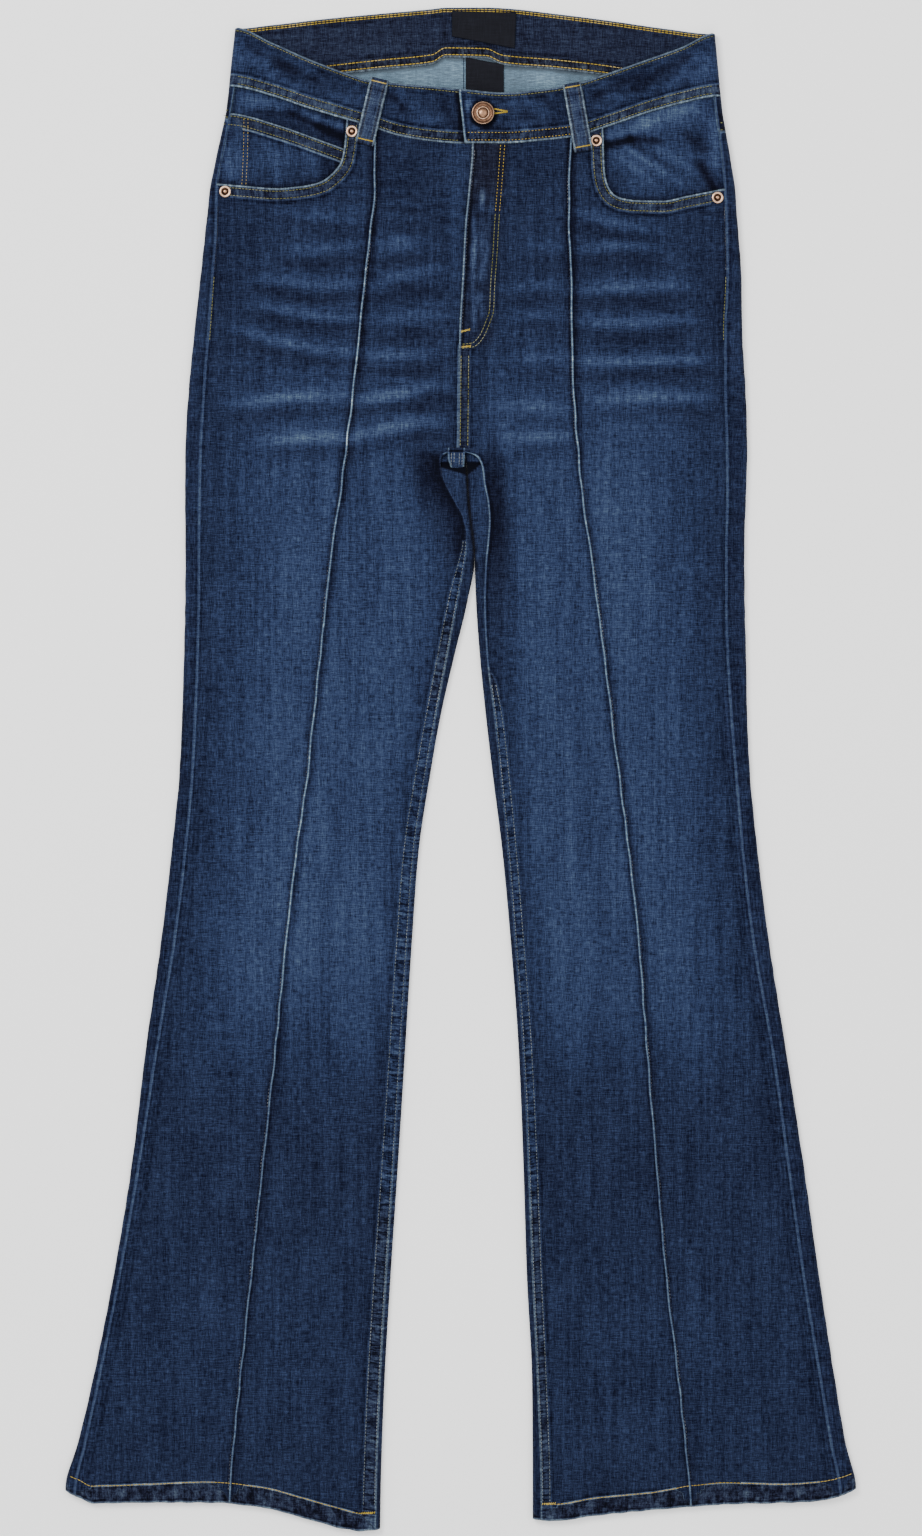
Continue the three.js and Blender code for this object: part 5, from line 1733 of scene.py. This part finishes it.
def turned(profile, x, y, z, steps):
    """A solid turned about Z from (radius, height) points, its middle closed."""
    profile = np.array(profile, float)
    angle = np.arange(steps) * 2 * PI / steps
    radius, height = profile[1:-1].T[..., None]
    rings = grid(x + radius * np.cos(angle), y + radius * np.sin(angle), z + height)
    first, last = ([(x, y, z + profile[end, 1])] for end in (0, -1))
    points = np.concatenate([first, rings.reshape(-1, 3), last])
    tip = len(points) - 1
    faces = []
    for i in range(steps):
        j = (i + 1) % steps
        faces += [(0, 1 + j, 1 + i), (tip, tip - steps + i, tip - steps + j)]
        for ring in range(1, tip - steps, steps):
            faces.append((ring + i, ring + j, ring + steps + j, ring + steps + i))
    mesh = Mesh()
    mesh.add(points, [np.array(f) for f in faces], [np.zeros(len(faces), int)], None)
    return mesh


BUTTON_PROFILE = [
    (0, 0), (3.6, 0), (3.6, 1.2), (6.9, 1.3), (7.9, 1.7), (8.2, 2.3), (8.1, 3.0), (7.7, 3.5),
    (7.2, 3.65), (6.8, 3.5), (6.5, 3.15), (5.2, 3.0), (4.7, 3.1), (4.45, 3.5), (4.1, 3.62),
    (3.75, 3.5), (3.5, 3.3), (3.2, 3.5), (2.6, 3.85), (1.6, 4.1), (0.7, 4.2), (0, 4.2),
]
RIVET_PROFILE = [
    (0, 0), (4.0, 0), (4.3, 0.3), (4.2, 0.75), (3.8, 1.05), (3.2, 1.1), (2.6, 0.85), (2.2, 0.75),
    (1.9, 0.85), (1.7, 1.25), (1.3, 1.6), (0.6, 1.8), (0, 1.82),
]
BEADS = {"count": 44, "radius": 5.85, "base": 2.9}  # a ring of fine beads round its face
BEAD_PROFILE = [(0, 0), (0.3, 0.05), (0.26, 0.28), (0, 0.36)]


def button(z):
    """The waist button: a turned cap and its ring of beads."""
    middle = np.array([BUTTON["x"], BUTTON["y"]])
    mesh = turned(BUTTON_PROFILE, *middle, z, 72)
    for t in np.arange(BEADS["count"]) * 2 * PI / BEADS["count"]:
        x, y = middle + BEADS["radius"] * np.array([np.cos(t), np.sin(t)])
        bead = turned(BEAD_PROFILE, x, y, z + BEADS["base"], 6)
        mesh.add(bead.points[0], [np.array(f) for f in bead.faces], bead.slots, None)
    return mesh


# ---------------------------------------------------------------- camera, floor and light

# The camera looks straight down from far metres over a point in millimetres, and its
# picture is tall millimetres high there
VIEW = {"tall": 1092.6, "far": 4.0, "x": 0.2, "y": 0.5, "z": 6}
SENSOR = 24
camera_data = bpy.data.cameras.new("camera")
camera_data.sensor_fit = "VERTICAL"
camera_data.sensor_height = SENSOR
camera_data.lens = SENSOR * VIEW["far"] / (VIEW["tall"] * MM)
camera_data.clip_end = 50
camera = bpy.data.objects.new("camera", camera_data)
camera.location = (VIEW["x"] * MM, VIEW["y"] * MM, VIEW["far"] + VIEW["z"] * MM)
bpy.context.scene.collection.objects.link(camera)
bpy.context.scene.camera = camera

# Discs of light that face the middle, in metres and watts
LIGHTS = table(
    "x y z size power",
    (-1.1, 1.0, 2.2, 1.2, 62), (1.4, 0.6, 2.8, 2.4, 30), (0.0, -1.7, 2.8, 2.4, 30),
)
for number, row in enumerate(each(LIGHTS)):
    lamp_data = bpy.data.lights.new(f"light_{number}", "AREA")
    lamp_data.shape, lamp_data.size, lamp_data.energy = "DISK", row["size"], row["power"]
    lamp = bpy.data.objects.new(f"light_{number}", lamp_data)
    lamp.location = (row["x"], row["y"], row["z"])
    lamp.rotation_euler = (-lamp.location).to_track_quat("-Z", "Y").to_euler()
    bpy.context.scene.collection.objects.link(lamp)

SKY = (0.6, 1.5)  # how bright the sky is at its horizon and overhead
world = bpy.data.worlds.new("studio")
world.use_nodes = True
sky = world.node_tree
sky_up = sky.nodes.new("ShaderNodeSeparateXYZ")
sky_light = sky.nodes.new("ShaderNodeMapRange")
sky.links.new(sky.nodes.new("ShaderNodeTexCoord").outputs["Generated"], sky_up.inputs[0])
sky.links.new(sky_up.outputs["Z"], sky_light.inputs["Value"])
sky_light.inputs["To Min"].default_value, sky_light.inputs["To Max"].default_value = SKY
sky.links.new(sky_light.outputs[0], sky.nodes["Background"].inputs["Strength"])
sky.nodes["Background"].inputs["Color"].default_value = (1, 1, 1, 1)
bpy.context.scene.world = world


def floor():
    """A white surface, just under z = 0 so that nothing coincides with it."""
    mesh = bpy.data.meshes.new("floor")
    r = 6.0
    mesh.from_pydata([(-r, -r, 0), (r, -r, 0), (r, r, 0), (-r, r, 0)], [], [(0, 1, 2, 3)])
    s = Shader("floor", roughness=0.95, emission_color=(1, 1, 1, 1), emission_strength=0.18)
    place = s.node("TexCoord", out=3)
    tone = s.math("ADD", s.noise(place, 3, 3, 3), 0.5)
    whites = (0.2, rgb(232, 232, 232)), (0.8, rgb(233, 233, 233))
    s.put(s.surface.inputs["Base Color"], s.colours(tone, *whites))
    mesh.materials.append(s.material)
    piece = bpy.data.objects.new("floor", mesh)
    piece.location.z = -0.2 * MM
    bpy.context.scene.collection.objects.link(piece)
    piece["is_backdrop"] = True


floor()

# ---------------------------------------------------------------- the garment

CLOTH = [DENIM_FRONT, DENIM_REVERSE]
METAL = {"slot": "copper", "autosmooth": 50}


def sew(name, mesh, node, materials=CLOTH, **settings):
    """Makes a piece of the jeans, in place of a node of the frame."""
    mesh.make(f"jeans_{name}", materials, [node], **settings)


for side in ("right", "left"):
    sew(f"front_{side}", front_leg(side), f"front_leg_{side}")
    sew(f"back_{side}", back_leg(side), f"back_leg_{side}")
    sew(f"yoke_{side}", back_yoke(side), f"back_yoke_{side}")
    facing = under_front(side, under_band, **FACINGS[side])
    sew(f"facing_{side}", facing, f"pocket_facing_{side}")
    sew(f"loop_{side}", belt_loop(side), f"belt_loop_{side}")
coin_pocket = under_front("right", coin_top, layers=1, extra_wear=0.02, band=COIN_BAND)
sew("coin_pocket", coin_pocket, "coin_pocket")
sew("waistband", waistband(), "waistband")
label = label_patch(WAISTBAND_LABEL, BAND + GAP)
sew("waistband_label", label, "waistband_label", [TAPE], slot="label")
left, right, low = (SIZE_LABEL[name] for name in ("left", "right", "bottom"))
high = read(BACK_BAND, "x", np.array([left, right]), "bottom") - GAP
corners = [(left, high[0]), (right, high[1]), (right, low), (left, low)]
label = label_patch(corners, DENIM + GAP, 0.3)
sew("size_label", label, "size_label", [TAPE], slot="label")
x, y = BUTTON["x"], BUTTON["y"]
z = float(band_face("left", np.array(x), np.array(y))) + HAIR
sew("button", button(z), "button", [BUTTON_COPPER], centre=(x, y, z), **METAL)
for name, (x, y) in RIVETS.items():
    side = name.split("_")[0]
    around = np.array([(x + i * 3, y + j * 3) for i in (-1, 0, 1) for j in (-1, 0, 1)])
    z = float(front_top(side, around[:, 0], around[:, 1]).max()) - HAIR
    rivet = turned(RIVET_PROFILE, x, y, z, 40)
    sew(f"rivet_{name}", rivet, f"rivet_{name}", [RIVET_COPPER], centre=(x, y, z), **METAL)

# ---------------------------------------------------------------- stitching

HEM_STITCH = {"pitch": 2.6, "long": 2.5, "wide": 0.26}
FLY_TACKS = ((3.4, 311.5, (1, 0.25)), (4.0, 300.2, (1, 0.1)))  # x, y and direction
CROTCH_ROWS = (-6.6, -4.6, -0.9, 1.1)  # x of the rows over the rise seam's end
KEYHOLE = (28.6, 467.1)  # the buttonhole's end


def leg_stitching(side):
    """What is sewn down a leg, from the belt loop to the hem."""
    threads = Threads(f"jeans_stitching_{side}")
    s = sign(side)
    top, back = partial(front_top, side), partial(back_top, side)
    # the pintuck, on the side of its ridge that faces the fly, then on the other
    upper = 446 if side == "right" else 440
    for start, end, away in ((upper, 210, s), (206, -515, -s * 1.2)):
        line = upright_row(side, "tuck", s * away, start, end, top)
        threads.row(NAVY, line, long=1.4, wide=0.34, high=0.22)
    # the pocket mouth: one row near its edge, one at the band's inner edge
    mouth = MOUTH_LINES[side]
    places = np.arange(3, mouth.s[-1] - 3, 1.5)
    for away in (1.8, MOUTH_BAND - 0.9):
        x, y = mouth.at(places, s * away).T
        inside = s * (x - leg(side, y, "side")) > 1.5
        inside &= y < read(FRONT_BAND, "x", x, "bottom") - 1
        threads.row(OLIVE, on_surface(top, x[inside], y[inside]))
    # the inseam, from below the crotch to the hem
    start = 162 if side == "right" else 60
    for share in (0.0, 1.0):
        y = np.arange(start, -526, -2.0)
        width = read(INSEAM_BAND, "y", y, side)
        x = leg(side, y, "edge") - s * (1.1 + share * (width - 1.6))
        threads.row(GREY, on_surface(top, x, y), long=1.7, pitch=2.4, wide=0.25)
    # the hem, on the front and where the back shows, with a bar tack over the inseam
    x = np.arange(leg(side, -515, "side") + s * 2, leg(side, -525, "edge") - s * 2, 2.0 * s)
    y = read(HEMS[side], "x", x, "stitch") + 0.15 * ripple(x, 23, 0.7)
    threads.row(GOLD, on_surface(top, x, y), **HEM_STITCH)
    x = np.linspace(leg(side, -503, "outer") + s * 2.2, leg(side, -505, "side") - s * 0.4, 8)
    y = read(HEMS[side], "x", x, "stitch")
    threads.row(GOLD, on_surface(back, x, y), **HEM_STITCH)
    x = leg(side, -528, "edge") - s * 5.5
    y = read(HEMS[side], "x", x, "stitch") + 0.6
    threads.tack(GOLD, (x, y, float(top(x, y)) + HAIR), (1, 0.05, 0), 9, 7)
    # the side seam, topstitched beside the pocket
    for start, end, material in ((400, 352, NAVY), (350, 303, OLIVE)):
        threads.row(material, upright_row(side, "side", 1.3, start, end, top), wide=0.26)
    # the yoke seam's double row, where it comes round to the front
    seam_y = YOKE_SEAM[side][0]
    x = np.linspace(leg(side, seam_y, "side") - s * 0.6, leg(side, seam_y, "outer") + s * 1.4, 8)
    for above in (1.3, 6.2):
        line = on_surface(back, x, np.full(8, seam_y + above))
        threads.row(OLIVE, line, pitch=2, long=1.6, wide=0.3)
    # the belt loop: a row down each side, and a bar tack at each end
    half = LOOPS[side]["half"]
    share = np.linspace(0.03, 0.97, 40)
    for offset in (-0.62 * half, 0.62 * half):
        line = np.column_stack(loop_point(side, share, np.full(40, offset)))
        threads.row(NAVY, line, long=1.5, wide=0.26)
    for share in (0.045, 0.94):
        a, b = (np.array(loop_point(side, share, k * half)).ravel() for k in (-0.8, 0.8))
        threads.tack(GOLD, (a + b) / 2, b - a, 1.6 * half, 12, 1.2)
    threads.make()


def fly_stitching():
    """The fly's, that of the rise below it, and the crotch point's."""
    threads = Threads("jeans_stitching_fly")
    top = partial(front_top, "left")
    places = np.arange(0, FLY_LINE.s[-1] - 1, 1.5)
    for away in (0.0, -2.9):
        line = on_surface(top, *FLY_LINE.at(places, away).T)
        high = line[:, 1] > 396
        threads.row(GOLD, line[high], long=1.4, wide=0.26)
        threads.row(OLIVE, line[~high], wide=0.27)
    threads.row(NAVY, upright_row("left", "edge", -1.5, 440, 302, top), long=1.4, wide=0.36)
    for away in (-1.2, -RISE_BAND + 0.8):
        threads.row(OLIVE, upright_row("left", "edge", away, 294, 229, top), long=2, wide=0.3)
    for x, y, ahead in FLY_TACKS:
        threads.tack(GOLD, (x, y, float(top(x, y)) + HAIR), (*ahead, 0), 6, 7)
    y = np.arange(224.6, 214.6, -1.5)
    z = curl_top((CURL["start"] - y) / CURL["long"]) + 0.15
    for x in CROTCH_ROWS:
        line = np.column_stack([x + 0.03 * (y - CROTCH), y, z])
        threads.row(GREY, line, wide=0.24, high=0.18, long=2.2)
    threads.make()


def waistband_stitching():
    """Rows along the waistband's edges, and a tack on each side of the keyhole."""
    threads = Threads("jeans_stitching_waistband")
    for side, start, end in (("right", 0.5, -167), ("left", 4.5, 186)):
        x = np.arange(start, end, -2.0 * sign(side))
        x = x[sign(side) * (x - leg(side, 500, "outer")) > BAND_ROLL]
        bottom, top = (read(FRONT_BAND, "x", x, c) for c in ("bottom", "top"))
        for y, bright in ((bottom + 1.8, True), (bottom + 7.1, True), (top - 1.9, False)):
            line = on_surface(partial(band_face, side), x, y)
            bright = bright & (x > 0) & (x < 82)
            threads.row(GOLD, line[bright], long=1.4, wide=0.24, high=0.24)
            threads.row(OLIVE, line[~bright], high=0.24)
    x = np.arange(-158, 180, 2.0)
    low, high = (read(BACK_BAND, "x", x, c) for c in ("bottom", "top"))
    for y in (low + 1.6, low + 6.4, high - 1.1, high - 2.5):
        line = np.column_stack([x, y, BAND + back_lift(x, y)])
        threads.row(GOLD, line, wide=0.34, pitch=2.7, long=2.5)
    x, y = KEYHOLE
    z = float(band_face("left", *np.array(KEYHOLE))) + HAIR
    for above, lean_y in ((0.9, -0.2), (-0.9, 0.12)):
        threads.tack(GOLD, (x, y + above, z), (1, lean_y, 0), 9, 13, 1.5)
    threads.make()


def coin_pocket_stitching():
    """Two rows along its hem, and two that curve down its side."""
    threads = Threads("jeans_stitching_coin_pocket")
    x = np.arange(-169, -76, 2.0)
    for below in (1.8, COIN_BAND - 1.9):
        threads.row(OLIVE, on_surface(coin_face, x, coin_top(x) - below))
    y = np.arange(463, 414, -2.0)
    for away in (0, 2.9):
        x = -154.2 - 1.6 * ((463 - y) / 49) ** 2 + away
        threads.row(GOLD, on_surface(coin_face, x, y), long=1.4, wide=0.18)
    threads.make()


leg_stitching("right")
leg_stitching("left")
fly_stitching()
waistband_stitching()
coin_pocket_stitching()

# ---------------------------------------------------------------- bounds

boxes = {"cad": cad_box, "visual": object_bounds()}
{k: [list(map(float, c)) for c in v] for k, v in boxes.items()}
